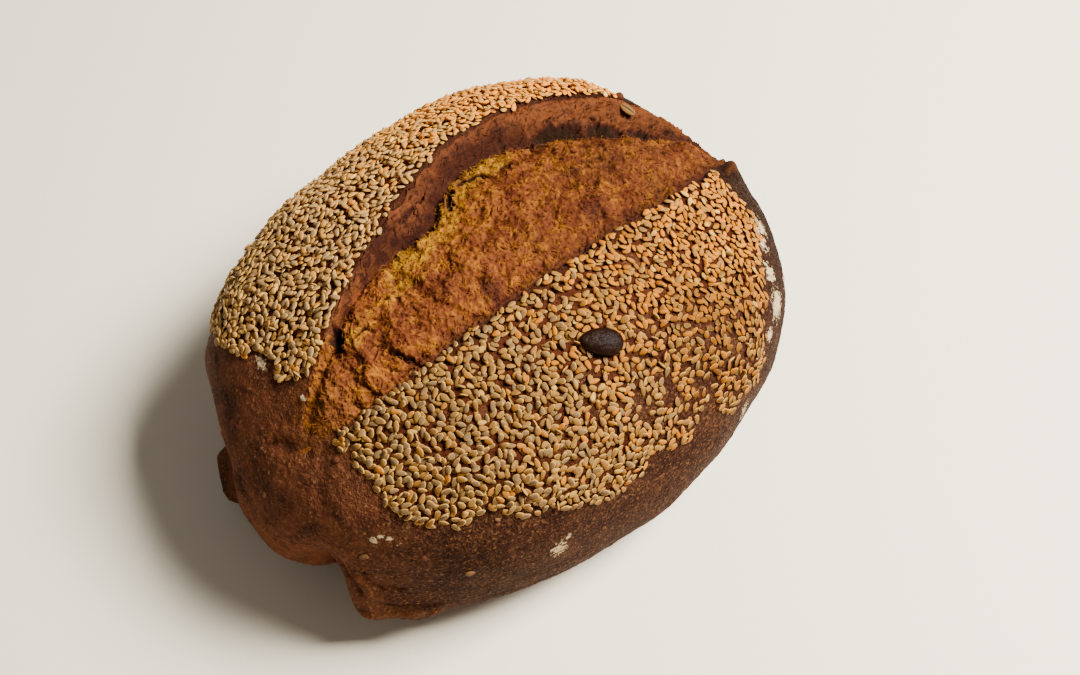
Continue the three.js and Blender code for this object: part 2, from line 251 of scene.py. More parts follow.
def score_relief(x, y):
    """Height of the opened score over the plain body: a rolled lip with a groove, crumb with a
    low crown that sinks into a valley, a wall up to the crest, and a slope behind it."""
    share = score_share(x)
    fade = smooth(0, SCORE.notched_fade, share) * smooth(0, SCORE.far_fade, 1 - share)
    depth = SCORE.depth * np.sin(np.pi * share) ** 0.5
    lift = SCORE.lift * np.sin(np.pi * share**0.75) ** 0.6
    lip = lip_y(x)
    crest = lip + crest_span(x)
    valley = crest - wall_width(x)
    groove = SCORE.lip_groove * bell(y, lip + SCORE.lip_groove_reach, SCORE.lip_groove_reach)
    crumb_share = np.clip((y - lip) / np.maximum(valley - lip, 1e-6), 0, 1)
    wall_share = np.clip((y - valley) / np.maximum(crest - valley, 1e-6), 0, 1)
    near = SCORE.lip_roll * np.exp(np.minimum(y - lip, 0) / SCORE.lip_roll_reach) - groove
    crumb = SCORE.crumb_crown * np.sin(np.pi * crumb_share**0.8) - depth * crumb_share**3
    crumb = crumb + SCORE.lip_roll * (1 - smooth(0, 0.1, crumb_share)) - groove
    wall = (depth + lift) * (wall_share**2 * (3 - 2 * wall_share)) ** 0.9 - depth
    behind = lift * np.exp(np.minimum(crest - y, 0) / SCORE.lift_reach)
    beyond = np.where(y < crest, wall, behind)
    height = np.where(y < lip, near, np.where(y < valley, crumb, beyond))
    horn = HORN.height * bell(x, HORN.x, HORN.reach) * bell(y, HORN.y, HORN.reach)
    return height * fade + horn


def fold_push(point):
    """Push of the notched end's folds, in plan, away from the point their angles are about."""
    dx = point[..., 0] - FOLD_CENTRE.x
    dy = point[..., 1] - FOLD_CENTRE.y
    z = point[..., 2]
    angle = np.degrees(np.arctan2(-dy, -dx))
    push = np.zeros(z.shape)
    for fold in FOLDS:
        push += (fold.reach * bell(angle, fold.angle, fold.half_angle)
                 * smooth(*FOLD_CENTRE.above, z)
                 * (1 - smooth(fold.full_below, fold.gone_above, z)))
    for band in TUCKS:
        push += (band.reach * bell(z, band.height, band.half_height)
                 * smooth(*band.rise, angle) * (1 - smooth(*band.fall, angle)))
    push *= smooth(0, FOLD_CENTRE.fade_x, -dx)
    return unit(np.stack([dx, dy, np.zeros(z.shape)], -1)) * push[..., None]


def lumps(point):
    """Gentle unevenness of the whole crust: a broad and a small wave."""
    x, y, z = np.moveaxis(point, -1, 0)
    broad = np.sin(x / 13 + 1.1) * np.sin(y / 11 + z / 17 + 0.4)
    small = np.sin(x / 7.3 + y / 9.1) * np.cos(z / 8.7 + x / 15)
    return 0.7 * (broad + 0.57 * small) * smooth(-5, 15, z)


def above_floor(z):
    """Height above the floor, with the part below it flattened and the change rounded."""
    blend = BODY.floor_rounding
    return np.where(z > blend, z, np.where(z < -blend, 0, (z + blend) ** 2 / (4 * blend)))


def loaf_point(along, around, extra=0):
    """The plain body, pushed along its normal by the score, swells, lumps and extra relief, then
    by the folds, and flattened on the floor."""
    point = body_point(along, around)
    x, y, z = np.moveaxis(point, -1, 0)
    relief = score_relief(x, y) * smooth(BODY.equator, BODY.equator + SCORE.fade_above, z)
    for swell, across in ((FAR_SWELL, y), (NEAR_SWELL, -y)):
        relief = relief + swell.height * smooth(*swell.across, across) * smooth(*swell.above, z)
    relief = relief + lumps(point) + extra
    moved = point + outward_normal(body_point, along, around) * relief[..., None]
    moved = moved + fold_push(point)
    moved[..., 2] = above_floor(moved[..., 2])
    return moved


def angle_at_y(y, half_width):
    """Angle round a station at which the plain body has a given Y."""
    share = np.clip(y / half_width, -FLATTEST_SHARE, FLATTEST_SHARE)
    return np.arccos(super_coordinate(share, 4 / BODY.section_power))


def angles_at(x, y):
    """Angles of the plain body's upper point with a plan position."""
    reach = (x - BODY.widest_x) / np.where(x > BODY.widest_x, BODY.far_reach, BODY.notched_reach)
    along = np.arccos(super_coordinate(np.clip(reach, -1, 1), 4 / BODY.plan_power))
    share = np.clip(y / np.maximum(station_half_width(along), 1e-6), -1, 1)
    return along, np.arccos(super_coordinate(share, 4 / BODY.section_power))


# ---------------------------------------------------------------- meshes


def make_piece(name, points, faces, material, **attributes):
    """A smooth mesh object from points in mm, arrays of corner numbers, and point attributes."""
    corners = np.concatenate([part.ravel() for part in faces])
    sizes = np.concatenate([np.full(len(part), part.shape[1]) for part in faces])
    mesh = bpy.data.meshes.new(name)
    mesh.vertices.add(len(points))
    mesh.vertices.foreach_set("co", (np.asarray(points) * MM).astype(np.float32).ravel())
    mesh.loops.add(len(corners))
    mesh.loops.foreach_set("vertex_index", corners.astype(np.int32))
    mesh.polygons.add(len(sizes))
    starts = np.concatenate([[0], np.cumsum(sizes)[:-1]])
    mesh.polygons.foreach_set("loop_start", starts.astype(np.int32))
    mesh.update(calc_edges=True)
    if mesh.validate():
        raise RuntimeError(f"{name} has faces that do not fit together")
    mesh.shade_smooth()
    for key, values in attributes.items():
        layer = mesh.attributes.new(key, "FLOAT", "POINT")
        layer.data.foreach_set("value", np.asarray(values, np.float32).ravel())
    mesh.materials.append(material)
    piece = bpy.data.objects.new(name, mesh)
    bpy.context.scene.collection.objects.link(piece)
    return piece


def tube_faces(stations, sides):
    """Quads between rings of points, and a fan of triangles at each end. The two end points come
    after the rings."""
    ring = np.arange(sides)
    here = np.arange(stations - 1)[:, None] * sides + ring
    there = here + sides
    turn = np.roll(ring, -1)
    quads = np.stack([here, there, there[:, turn], here[:, turn]], -1).reshape(-1, 4)
    last = (stations - 1) * sides + ring
    start = np.full(sides, stations * sides)
    start_fan = np.stack([start, ring, turn], -1)
    end_fan = np.stack([start + 1, last[turn], last], -1)
    return [quads, np.concatenate([start_fan, end_fan])]


def finish_piece(piece, slot, *nodes):
    """Says what a piece rides on and which solids it stands for. Its slot is not used."""
    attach(piece, "root")
    if nodes:
        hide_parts(*nodes)


# ---------------------------------------------------------------- small shapes on the loaf


def frames_at(centre, normal, heading):
    """Frames with their centre on the crust, upright on it and pointed along a heading."""
    across = unit(np.cross(normal, heading))
    return Sizes(centre=centre, normal=normal, forward=np.cross(across, normal), across=across)


def turned(base, lean, roll, lift):
    """Frames raised along their normal, then leant about their width and rolled about their
    length."""
    lean, roll = lean[:, None], roll[:, None]
    forward = base.forward * np.cos(lean) + base.normal * np.sin(lean)
    up = base.normal * np.cos(lean) - base.forward * np.sin(lean)
    across = base.across * np.cos(roll) + up * np.sin(roll)
    up = up * np.cos(roll) - base.across * np.sin(roll)
    centre = base.centre + base.normal * lift[:, None]
    return Sizes(centre=centre, forward=forward, across=across, up=up)


def laid_frames(along, around, heading, lift, roll=0.0):
    """Frames on the crust, pointed along a plan heading, raised by a lift and rolled."""
    normal = outward_normal(loaf_point, along, around)
    frames = frames_at(loaf_point(along, around), normal, heading)
    zero = np.zeros(len(along))
    return turned(frames, zero, zero + roll, lift)


def in_frames(local, frames):
    """Points of many small shapes (shapes, points of each, 3), moved into a frame for each."""
    return (frames.centre[:, None] + local[..., 0:1] * frames.forward[:, None]
            + local[..., 1:2] * frames.across[:, None] + local[..., 2:3] * frames.up[:, None])


def make_scatter(name, points, faces, material, **layers):
    """One piece from many shapes that share their faces. Each layer has a value for each shape
    (shapes, 1), for each point of a shape, or for both."""
    count, each = points.shape[:2]
    shift = np.arange(count)[:, None, None] * each
    shifted = [(part[None] + shift).reshape(-1, part.shape[1]) for part in faces]
    filled = {key: np.broadcast_to(layer, (count, each)) for key, layer in layers.items()}
    return make_piece(name, points.reshape(-1, 3), shifted, material, **filled)


def lay_oval(name, spot, parts, lift, material, **layers):
    """A closed oval laid on the crust at a spot, with its middle raised by a lift. It is given as
    the X, Y and Z of its rings. The layers end with the values of its two tips."""
    rings = np.stack(parts, -1)
    tips = np.array([[0.5 * spot.length, 0, 0], [-0.5 * spot.length, 0, 0]])
    points = np.concatenate([rings.reshape(-1, 3), tips])
    along, around = angles_at(np.array([spot.x]), np.array([spot.y]))
    heading = np.array([[*spot.heading, 0]])
    frames = laid_frames(along, around, heading, np.array([lift]), spot.roll)
    laid = in_frames(points[None], frames)[0]
    return make_piece(name, laid, tube_faces(*rings.shape[:2]), material, **layers)


# ---------------------------------------------------------------- shader helpers


def rgba(colour):
    """A colour as a socket takes it, or the socket that it comes from."""
    return colour if isinstance(colour, bpy.types.NodeSocket) else (*colour, 1.0)


class Shader:
    """A node tree that is being filled, and the colour that its layers have come to."""

    def __init__(self, tree):
        self.tree = tree
        self.colour = None

    def fill(self, node, values):
        """Sets or links a node's inputs, and returns its outputs."""
        for key, value in values.items():
            if isinstance(value, bpy.types.NodeSocket):
                self.tree.links.new(value, node.inputs[key])
            else:
                node.inputs[key].default_value = value
        return node.outputs

    def add(self, kind, values, **settings):
        """Adds a node, makes its settings, fills its inputs, and returns its outputs."""
        node = self.tree.nodes.new(kind)
        for key, value in settings.items():
            setattr(node, key, value)
        return self.fill(node, values)

    def math(self, operation, *values):
        """A value worked out from one, two or three others."""
        return self.add("ShaderNodeMath", dict(enumerate(values)), operation=operation)[0]

    def times(self, *values):
        """The product of two or more values."""
        return reduce(partial(self.math, "MULTIPLY"), values)

    def largest(self, *values):
        """The largest of two or more values."""
        return reduce(partial(self.math, "MAXIMUM"), values)

    def line(self, value, slope, start):
        """A value times a slope, plus a start."""
        return self.math("MULTIPLY_ADD", value, slope, start)

    def varied(self, value, pattern, strength):
        """A value moved up and down by a pattern from 0 to 1."""
        return self.line(self.math("SUBTRACT", pattern, 0.5), strength, value)

    def span(self, value, low, high, start=0.0, end=1.0):
        """A value eased from start to end while the input goes from low to high."""
        values = {0: value, 1: low, 2: high, 3: start, 4: end}
        return self.add("ShaderNodeMapRange", values, interpolation_type="SMOOTHSTEP")[0]

    def blend(self, share, first, second, blend_type="MIX"):
        """Two colours, mixed by a share."""
        values = {0: share, 6: rgba(first), 7: rgba(second)}
        return self.add("ShaderNodeMix", values, data_type="RGBA", blend_type=blend_type)[2]

    def paint(self, share, colour):
        """Lays a colour over the one so far, by a share."""
        self.colour = self.blend(share, self.colour, colour)

    def darken(self, value):
        """Multiplies the colour so far by a value."""
        grey = self.add("ShaderNodeCombineColor", {0: value, 1: value, 2: value})[0]
        self.colour = self.blend(1.0, self.colour, grey, "MULTIPLY")

    def noise(self, vector, size, detail=3.0, roughness=0.55, distortion=0.0):
        """Soft noise with features of a given size in metres."""
        values = {"Vector": vector, "Scale": 1 / size, "Detail": detail,
                  "Roughness": roughness, "Distortion": distortion}
        return self.add("ShaderNodeTexNoise", values)[0]

    def attribute(self, name):
        """A point attribute of the mesh."""
        return self.add("ShaderNodeAttribute", {}, attribute_name=name)["Fac"]

    def place(self):
        """Object coordinates, in metres."""
        return self.add("ShaderNodeTexCoord", {})["Object"]

    def stretched(self, place, scale):
        """A place scaled along each axis, so that a pattern on it is drawn out."""
        return self.add("ShaderNodeMapping", {"Vector": place, "Scale": scale})[0]

    def group(self, group, **values):
        """One of the shared node groups, with its own values."""
        return self.add("ShaderNodeGroup", values, node_tree=group)

    def bump(self, height, distance, strength):
        """A normal from a height, which is worth a distance in metres."""
        values = {"Height": height, "Distance": distance, "Strength": strength}
        return self.add("ShaderNodeBump", values)[0]


def new_material(name, specular=0.5):
    """A material with only a Principled BSDF and its output, and a strength of its highlights."""
    material = bpy.data.materials.new(name)
    material.use_nodes = True
    tree = material.node_tree
    tree.nodes.clear()
    output = tree.nodes.new("ShaderNodeOutputMaterial")
    surface = tree.nodes.new("ShaderNodeBsdfPrincipled")
    tree.links.new(surface.outputs[0], output.inputs[0])
    surface.inputs["Specular IOR Level"].default_value = specular
    return material, Shader(tree), surface


def new_group(name, inputs, outputs):
    """A node group with named sockets, its shader helper, and its input and output nodes."""
    tree = bpy.data.node_groups.new(name, "ShaderNodeTree")
    for side, sockets in (("INPUT", inputs), ("OUTPUT", outputs)):
        for key, kind in sockets.items():
            tree.interface.new_socket(name=key, in_out=side, socket_type="NodeSocket" + kind)
    given = tree.nodes.new("NodeGroupInput").outputs
    return tree, Shader(tree), given, tree.nodes.new("NodeGroupOutput")


def speckle_group():
    """Baked speckle: fine grains and broader blotches from noise of two sizes, as a mask and as
    a height."""
    name = "Baked speckle"
    if name in bpy.data.node_groups:
        return bpy.data.node_groups[name]
    inputs = {"Place": "Vector", "Size": "Float", "Blotch": "Float"}
    tree, shader, given, result = new_group(name, inputs, {"Mask": "Float", "Height": "Float"})
    scale = shader.math("DIVIDE", 1.0, given["Size"])
    values = {"Vector": given["Place"], "Scale": scale, "Detail": 3.0, "Roughness": 0.62}
    grain = shader.add("ShaderNodeTexNoise", values)[0]
    broad_scale = shader.times(scale, 0.16)
    values = {"Vector": given["Place"], "Scale": broad_scale, "Detail": 2.0, "Roughness": 0.5}
    broad = shader.add("ShaderNodeTexNoise", values)[0]
    values = {"Vector": given["Place"], "Scale": scale, "Randomness": 1.0}
    cells = shader.add("ShaderNodeTexVoronoi", values, feature="F1")[0]
    mask = shader.span(shader.varied(grain, broad, given["Blotch"]), 0.42, 0.68)
    height = shader.math("SUBTRACT", grain, shader.times(cells, 0.45))
    shader.fill(result, {"Mask": mask, "Height": height})
    return tree


def dusting_group():
    """A ragged patch of dry flour: distance from its centre, shortened or lengthened along each
    axis by its reach, and broken up by noise."""
    name = "Flour dusting"
    if name in bpy.data.node_groups:
        return bpy.data.node_groups[name]
    inputs = {"Place": "Vector", "Centre": "Vector", "Reach": "Vector", "Ragged": "Float"}
    tree, shader, given, result = new_group(name, inputs, {"Mask": "Float"})
    values = {0: given["Place"], 1: given["Centre"]}
    offset = shader.add("ShaderNodeVectorMath", values, operation="SUBTRACT")[0]
    values = {0: offset, 1: given["Reach"]}
    scaled = shader.add("ShaderNodeVectorMath", values, operation="DIVIDE")[0]
    distance = shader.add("ShaderNodeVectorMath", {0: scaled}, operation="LENGTH")["Value"]
    rough = shader.noise(given["Place"], 0.0013, 5.0, 0.72)
    rough = shader.times(shader.math("SUBTRACT", rough, 0.5), given["Ragged"], 3.2)
    mask = shader.span(shader.math("ADD", distance, rough), 0.95, 0.6)
    shader.fill(result, {"Mask": mask})
    return tree


# ---------------------------------------------------------------- what a user would change


def srgb(code):
    """Linear colour from a six-digit sRGB code."""
    shares = [int(code[i:i + 2], 16) / 255 for i in (0, 2, 4)]
    return [s / 12.92 if s <= 0.04045 else ((s + 0.055) / 1.055) ** 2.4 for s in shares]


def colour(name, description, code):
    """A colour setting."""
    return FloatVectorProperty(name=name, description=description, default=srgb(code),
                               subtype="COLOR", size=3, min=0.0, max=1.0)


def length(name, description, millimetres):
    """A length setting, in metres."""
    return FloatProperty(name=name, description=description, default=millimetres * MM,
                         unit="LENGTH", min=0.0)


class CrustSettings(bpy.types.PropertyGroup):
    grain_height: length("Grain height", "Height of the crust's fine blisters", 0.22)
    brown: colour("Brown", "Main colour of the crust", "5e321f")
    # Dark also paints shade: on the near side, low down at the notched end and in the pressed
    # folds. Burnt also paints a little shade on the near side.
    dark: colour("Dark", "Colour of its darkest blotches", "24110c")
    burnt: colour("Burnt", "Colour of the far end", "130805")
    speck: colour("Speck", "Colour of its light specks", "744a2e")
    fleck: colour("Fleck", "Colour of its sparse pale flecks", "94683e")
    bare: colour("Bare", "Colour between the sesame seeds", "3c180a")
    torn: colour("Torn", "Colour where the score runs out", "744018")
    flour: colour("Flour", "Colour of the dry flour", "cbb088")


class CrumbSettings(bpy.types.PropertyGroup):
    shred_height: length("Shred height", "Height of the torn texture", 1.0)
    shreds: IntProperty(name="Shreds", description="Number of loose shreds", default=4600, min=0)
    # Tip and deep colour the crumb by its relief: partly its own tones, partly painted highlight
    # on raised shreds and painted shade in the hollows.
    tip: colour("Tip", "Colour of raised shreds", "a26214")
    orange: colour("Orange", "Main colour of the torn crumb", "723c1c")
    deep: colour("Deep", "Colour of its hollows", "4a1e0c")
    yellow: colour("Yellow", "Colour of fresh crumb by the valley", "b07c10")
    red: colour("Red", "Colour of its redder patches", "5a2812")
    plum: colour("Plum", "Colour of soft dark places", "381a14")
    tan: colour("Tan", "Lighter colour where the score runs out", "7e4a1c")
    wall: colour("Wall", "Colour of the torn wall under the crest", "5a301a")
    # Colour of the painted shade in the holes, the valley, the crumb's edges and the wall's lower
    # part.
    char: colour("Char", "Colour of the darkest folds", "2c120b")


class SeedSettings(bpy.types.PropertyGroup):
    length: length("Length", "Length of a sesame seed", 2.9)
    width: length("Width", "Width of a sesame seed", 1.62)
    thickness: length("Thickness", "Thickness of a sesame seed", 0.72)
    olive: colour("Olive", "Least toasted seeds", "7e6342")
    tan: colour("Tan", "Most seeds", "94672f")
    gold: colour("Gold", "Toasted seeds", "c27010")
    rust: colour("Rust", "Most toasted seeds", "9a5a12")
    pale: colour("Pale", "Hulled seeds", "ca984a")
    husk: colour("Husk", "Skin of the pumpkin seed", "190c06")


class StageSettings(bpy.types.PropertyGroup):
    focal_length: FloatProperty(name="Focal length", description="Focal length in mm",
                                default=46.9, min=1.0)
    distance: FloatProperty(name="Distance", description="From the camera to its aim",
                            default=0.469, unit="LENGTH")
    elevation: FloatProperty(name="Elevation", description="Angle above the horizon",
                             default=math.radians(60), subtype="ANGLE")
    floor: colour("Floor", "Colour of the floor", "fbeed4")
    key_power: FloatProperty(name="Key light", description="Power in watts", default=36.0)
    sky: FloatProperty(name="Sky", description="Strength of the even light", default=0.19)


# ---------------------------------------------------------------- crust


def crust_angles(along):
    """Angles round each station, with a row in the valley and close rows across the two torn
    edges."""
    x = station_x(along)
    half_width = station_half_width(along)
    lip = lip_y(x)
    span = soft_max(crest_span(x), 0.2 * half_width)
    wall = np.minimum(soft_max(wall_width(x), 0.16 * span), 0.5 * span)
    band = np.minimum(EDGE_BAND, 0.3 * wall)
    crest = lip + span
    stops = [
        np.zeros_like(x),
        angle_at_y(crest + EDGE_BAND, half_width),
        angle_at_y(crest - band, half_width),
        angle_at_y(crest - wall, half_width),
        angle_at_y(lip + EDGE_BAND, half_width),
        angle_at_y(lip - EDGE_BAND, half_width),
        np.full_like(x, math.pi),
        np.full_like(x, math.pi + FOOT_ANGLE),
        np.full_like(x, 2 * math.pi - FOOT_ANGLE),
        np.full_like(x, 2 * math.pi),
    ]
    parts = []
    for count, low, high in zip(CRUST_ROWS, stops, stops[1:]):
        share = np.arange(count) / count
        parts.append(low[:, None] + (high - low)[:, None] * share)
    return np.concatenate(parts, axis=1)


def edge_wander(x, seed):
    """How far a torn edge wanders from its smooth line, in mm."""
    line = on_plan(x, 0 * x)
    return 0.9 * noise(line, 6.5, seed) + 0.6 * noise(line, 2.1, seed + 1)


def near_edge(x):
    """Y of the crust's torn edge along the lip."""
    return lip_y(x) + edge_wander(x, 11)


def far_edge(x):
    """Y of the crust's torn edge along the crest."""
    return lip_y(x) + crest_span(x) + edge_wander(x, 15)


def in_score(x, y):
    """1 inside the torn edges of the score, 0 outside, with a short slope between."""
    inside = smooth(0, 0.9, y - near_edge(x)) * smooth(0, 0.9, far_edge(x) - y)
    return inside * smooth(0.03, 0.12, score_share(x)) * smooth(0, 0.01, 1 - score_share(x))


# Folds pressed into the crust: the two ends of each (x, y, z), its half width and its depth.
# A ridge has a negative depth.
CREASES = (
    (-83, -31, 46, -80, -37, 34, 1.0, 1.3),
    (-81, -34.5, 43, -78, -40, 33, 1.2, -1.0),
    (-79, -36.5, 43, -75, -42, 34, 0.8, 1.2),
    (-76, -40, 40, -73, -45, 36, 0.7, 0.8),
    (-80, -37, 23, -66, -50, 22, 1.6, -1.1),
    (-77, -41, 27, -65, -51, 26, 0.8, 1.0),
    (-79, 1, 66, -74, -9, 69, 2.0, 1.0),
    (-71, -14, 70, -78, -22, 62, 3.0, 0.7),
    (-88, 6, 50, -86, -6, 44, 2.4, 0.8),
    (-84, 14, 47, -88, 20, 34, 1.4, 0.9),
    (-84, -18, 50, -82, -24, 38, 1.6, 0.7),
    (-56, -58, 24, -12, -69, 22, 1.6, 0.6),
    (-48, -61, 33, -24, -68, 31, 1.3, 0.4),
    (10, -70, 22, 60, -66, 24, 1.6, 0.5),
    (-62, -48, 52, -50, -56, 50, 2.2, 0.4),
    (84, -9, 58, 78, -13, 62, 1.0, 1.4),
    (85, -12, 55, 79, -15, 61, 1.1, -1.2),
    (83, -17, 57, 76, -19, 64, 0.9, 1.1),
    (80, -8, 61, 76, -11, 63, 1.0, -1.1),
    (86, -4, 54, 82, -7, 58, 1.0, 1.0),
)


def crease_depth(point):
    """Depth of the creases in mm: a bell of the distance to each line, which wanders a little."""
    moved = point + 1.5 * warp(point, 5.0, 90)
    total = np.zeros(point.shape[:-1])
    for *ends, half_width, depth in CREASES:
        start = np.array(ends[:3], float)
        line = np.array(ends[3:], float) - start
        share = np.clip((moved - start) @ line / (line @ line), 0, 1)
        distance = np.linalg.norm(moved - start - share[..., None] * line, axis=-1)
        total = total + depth * np.exp(-((distance / half_width) ** 2))
    return total


def crust_relief(point, height):
    """Blistered crust: plain noise of two sizes with faint ridges, gone near the flat base."""
    grain = 0.8 * noise(point, 2.2, 1) + 0.75 * noise(point, 1.2, 2)
    wrinkle = ridges(point * [0.6, 1, 1], 5.0, 3) ** 3 - 0.3
    return height * (grain + 0.35 * wrinkle) * smooth(1.5, 9, point[..., 2])


def crust_mesh(settings, material):
    """The loaf's closed skin: a grid of stations along and angles around, with a pole at each
    end, sunk inside the score to make a bed for the crumb."""
    share = np.arange(1, CRUST_STATIONS) / CRUST_STATIONS
    along = math.pi * (1 - (1 - share) ** CRUST_CROWDING)
    around = crust_angles(along)
    along = along[:, None] + 0 * around
    plain = body_point(along, around)
    x, y, z = np.moveaxis(plain, -1, 0)
    upper = smooth(BODY.equator, BODY.equator + SCORE.fade_above, z)
    bed = in_score(x, y) * upper
    creases = crease_depth(plain)
    extra = (crust_relief(plain, settings.grain_height / MM) - creases) * (1 - bed)
    extra = extra - (BED_DEPTH + 1.3 * tear_mask(x, y)) * bed
    points = loaf_point(along, around, extra)
    ends = loaf_point(np.array([END_ANGLE, math.pi - END_ANGLE]), np.zeros(2))
    lip = np.abs(y - lip_y(x))
    crest = np.abs(y - lip_y(x) - crest_span(x))
    edge = np.exp(-np.minimum(lip, crest) / 2.2) * upper * smooth(0.15, 0.35, score_share(x))
    tip = bell(x, -66, 10) * bell(y, -4, 8) * upper
    seeded = seed_share(x, y, z)
    # The fold mask carries painted shade for the pressed folds.
    masks = Sizes(edge=edge, torn=tip, seeded=seeded, ridge=np.clip(-creases / 1.5, 0, 1),
                  fold=np.clip(creases / 1.8, 0, 1))
    layers = {key: np.append(mask.ravel(), [0, 0]) for key, mask in vars(masks).items()}
    vertices = np.concatenate([points.reshape(-1, 3), ends])
    return make_piece("crust", vertices, tube_faces(*points.shape[:2]), material, **layers)


FLOUR = (
    # centre x, y, z, then reach x, y, z and raggedness
    (62.5, -54.5, 52.0, 5.0, 5.5, 4.5, 1.2),
    (73.5, -49.0, 44.0, 4.0, 5.0, 3.0, 1.4),
    (74.3, -34.0, 59.0, 3.0, 3.6, 2.6, 1.8),
    (70.9, -38.5, 59.4, 2.0, 4.0, 2.5, 2.0),
    (65.3, -47.4, 57.6, 2.4, 3.0, 2.4, 2.0),
    (53.4, -60.1, 51.8, 2.6, 2.2, 2.4, 1.3),
    (46.3, -63.0, 53.4, 2.2, 2.0, 2.0, 1.3),
    (37.4, -68.4, 36.0, 1.8, 1.5, 4.0, 2.4),
    (-34.3, -66.5, 42.5, 2.0, 2.0, 3.2, 1.9),
    (-31.0, -67.0, 46.5, 1.3, 1.2, 1.3, 1.9),
    (-73.8, -37.0, 59.0, 1.2, 1.3, 1.4, 0.9),
    (-71.4, -37.9, 60.2, 1.5, 1.1, 0.9, 0.9),
    (-70.0, -39.4, 59.8, 1.2, 1.4, 0.9, 0.9),
    (-69.0, -41.3, 58.6, 0.9, 1.3, 1.1, 1.0),
    (-67.4, 18.3, 73.2, 1.1, 2.4, 2.0, 2.2),
    (-65.8, 0.4, 76.0, 0.7, 1.2, 0.9, 1.2),
)


def crust_material(settings):
    """Dark baked crust: brown with fine light grains and darker blotches, near black at the far
    end, orange on ridges and where the score runs out, redder under the seeds, with patches of dry
    flour. Painted shade darkens it on the near side, low down at the notched end and in the
    pressed folds."""
    material, shader, surface = new_material("Baked crust", 0.02)
    place = shader.place()
    speckle = shader.group(speckle_group(), Place=place, Size=0.0009, Blotch=0.35)
    fine = shader.group(speckle_group(), Place=place, Size=0.0005, Blotch=0.3)
    shader.colour = settings.brown
    blotch = shader.span(shader.noise(place, 0.008, 6.0, 0.68, 0.3), 0.4, 0.64)
    shader.paint(shader.times(blotch, 0.8), settings.dark)
    axes = shader.add("ShaderNodeSeparateXYZ", {0: place})
    baked = shader.times(shader.span(axes["X"], -0.086, -0.055), 0.44)
    shader.paint(baked, settings.dark)
    end = shader.span(axes["X"], 0.03, 0.075)
    shader.paint(shader.times(end, 0.95), settings.burnt)
    # Painted shade: the near side is darkened, mostly with dark and a little with burnt.
    near = shader.times(shader.span(axes["Y"], -0.030, -0.056), 0.9)
    shader.paint(near, settings.dark)
    shader.paint(shader.times(near, 0.25), settings.burnt)
    # Painted shade low down at the notched end, on its lower folds and lobes.
    low = shader.times(shader.span(axes["Z"], 0.032, 0.008),
                       shader.span(axes["X"], -0.035, -0.065, 0.0, 0.4))
    shader.paint(low, settings.dark)
    seeded = shader.attribute("seeded")
    shader.paint(shader.times(seeded, 0.85), settings.bare)
    streaks = shader.span(shader.noise(place, 0.003, 4.0, 0.65), 0.35, 0.6)
    torn = shader.largest(shader.times(shader.attribute("torn"), streaks),
                          shader.times(shader.attribute("ridge"), 0.6))
    shader.paint(shader.times(torn, 0.8), settings.torn)
    grainy = shader.times(shader.line(end, -0.75, 1.0), shader.line(seeded, -0.7, 1.0))
    flecks = shader.times(speckle["Mask"], shader.line(baked, -0.13, 0.42))
    shader.paint(shader.times(flecks, grainy), settings.speck)
    shader.paint(shader.times(fine["Mask"], 0.2, grainy), settings.speck)
    specks = shader.span(shader.noise(place, 0.0009, 2.0, 0.5), 0.6, 0.72, 0.0, 0.36)
    shader.paint(shader.times(specks, grainy), settings.fleck)
    # The score's torn edges are baked dark; the pressed folds get painted shade.
    shader.paint(shader.largest(shader.times(shader.attribute("edge"), 0.7),
                                shader.times(shader.attribute("fold"), 0.75)), settings.dark)
    patches = []
    for *sizes, ragged in FLOUR:
        centre, reach = (MM * np.reshape(sizes, (2, 3))).tolist()
        patch = shader.group(dusting_group(), Place=place, Centre=centre, Reach=reach,
                             Ragged=ragged)
        patches.append(patch["Mask"])
    flour = shader.largest(*patches)
    shader.paint(shader.times(flour, 0.9), settings.flour)
    bumps = shader.line(fine["Height"], 0.6, speckle["Height"])
    shader.fill(surface, {"Base Color": shader.colour,
                          "Roughness": shader.math("MAXIMUM", 0.62, flour),
                          "Normal": shader.bump(bumps, 0.0007, 0.8)})
    return material


class BREAD_OT_crust(bpy.types.Operator):
    """Build the baked crust, with its folds, base and the bed of the score"""

    bl_idname = "bread.crust"
    bl_label = "Crust"

    def execute(self, context):
        settings = context.scene.bread_crust
        piece = crust_mesh(settings, crust_material(settings))
        finish_piece(piece, "crust", "loaf")
        return {"FINISHED"}


# ---------------------------------------------------------------- crumb

# Torn holes and cracks: centre x and y, half length, half width, turn in degrees, depth.
TEARS = (
    (45.5, 23.8, 6.4, 1.9, -24, 5.0),
    (59.3, 17.0, 4.8, 2.0, -35, 4.6),
    (71.2, 11.2, 5.0, 1.5, -36, 3.8),
    (11.5, 23.3, 4.0, 1.3, -25, 4.2),
    (21.5, 19.6, 1.8, 1.0, -20, 3.0),
    (2.2, 21.6, 3.4, 1.1, 55, 3.2),
    (-49.6, 4.6, 3.4, 1.6, 62, 3.0),
    (-44.0, 1.5, 2.6, 0.7, 10, 1.4),
    (34.5, 6.5, 4.0, 0.8, -50, 1.0),
    (36.0, -1.0, 3.6, 0.7, -100, 0.9),
    (-40.0, -12.0, 6.0, 0.8, -62, 1.1),
)

# Soft dark places on the crumb: x, y, reach and strength.
SMUDGES = (
    (-10.2, -12.0, 3.6, 0.8), (29.5, -8.5, 4.2, 0.7), (52.0, -12.5, 4.5, 0.65),
    (-33.0, -4.0, 4.0, 0.35), (-27.0, 6.5, 4.0, 0.35), (34.4, 5.0, 2.6, 0.6),
    (44.0, 4.0, 7.0, 0.6), (8.0, -6.0, 6.0, 0.35), (-20.0, -3.0, 6.0, 0.3),
    (60.0, 2.0, 5.0, 0.5), (-47.0, -2.0, 5.0, 0.3),
)


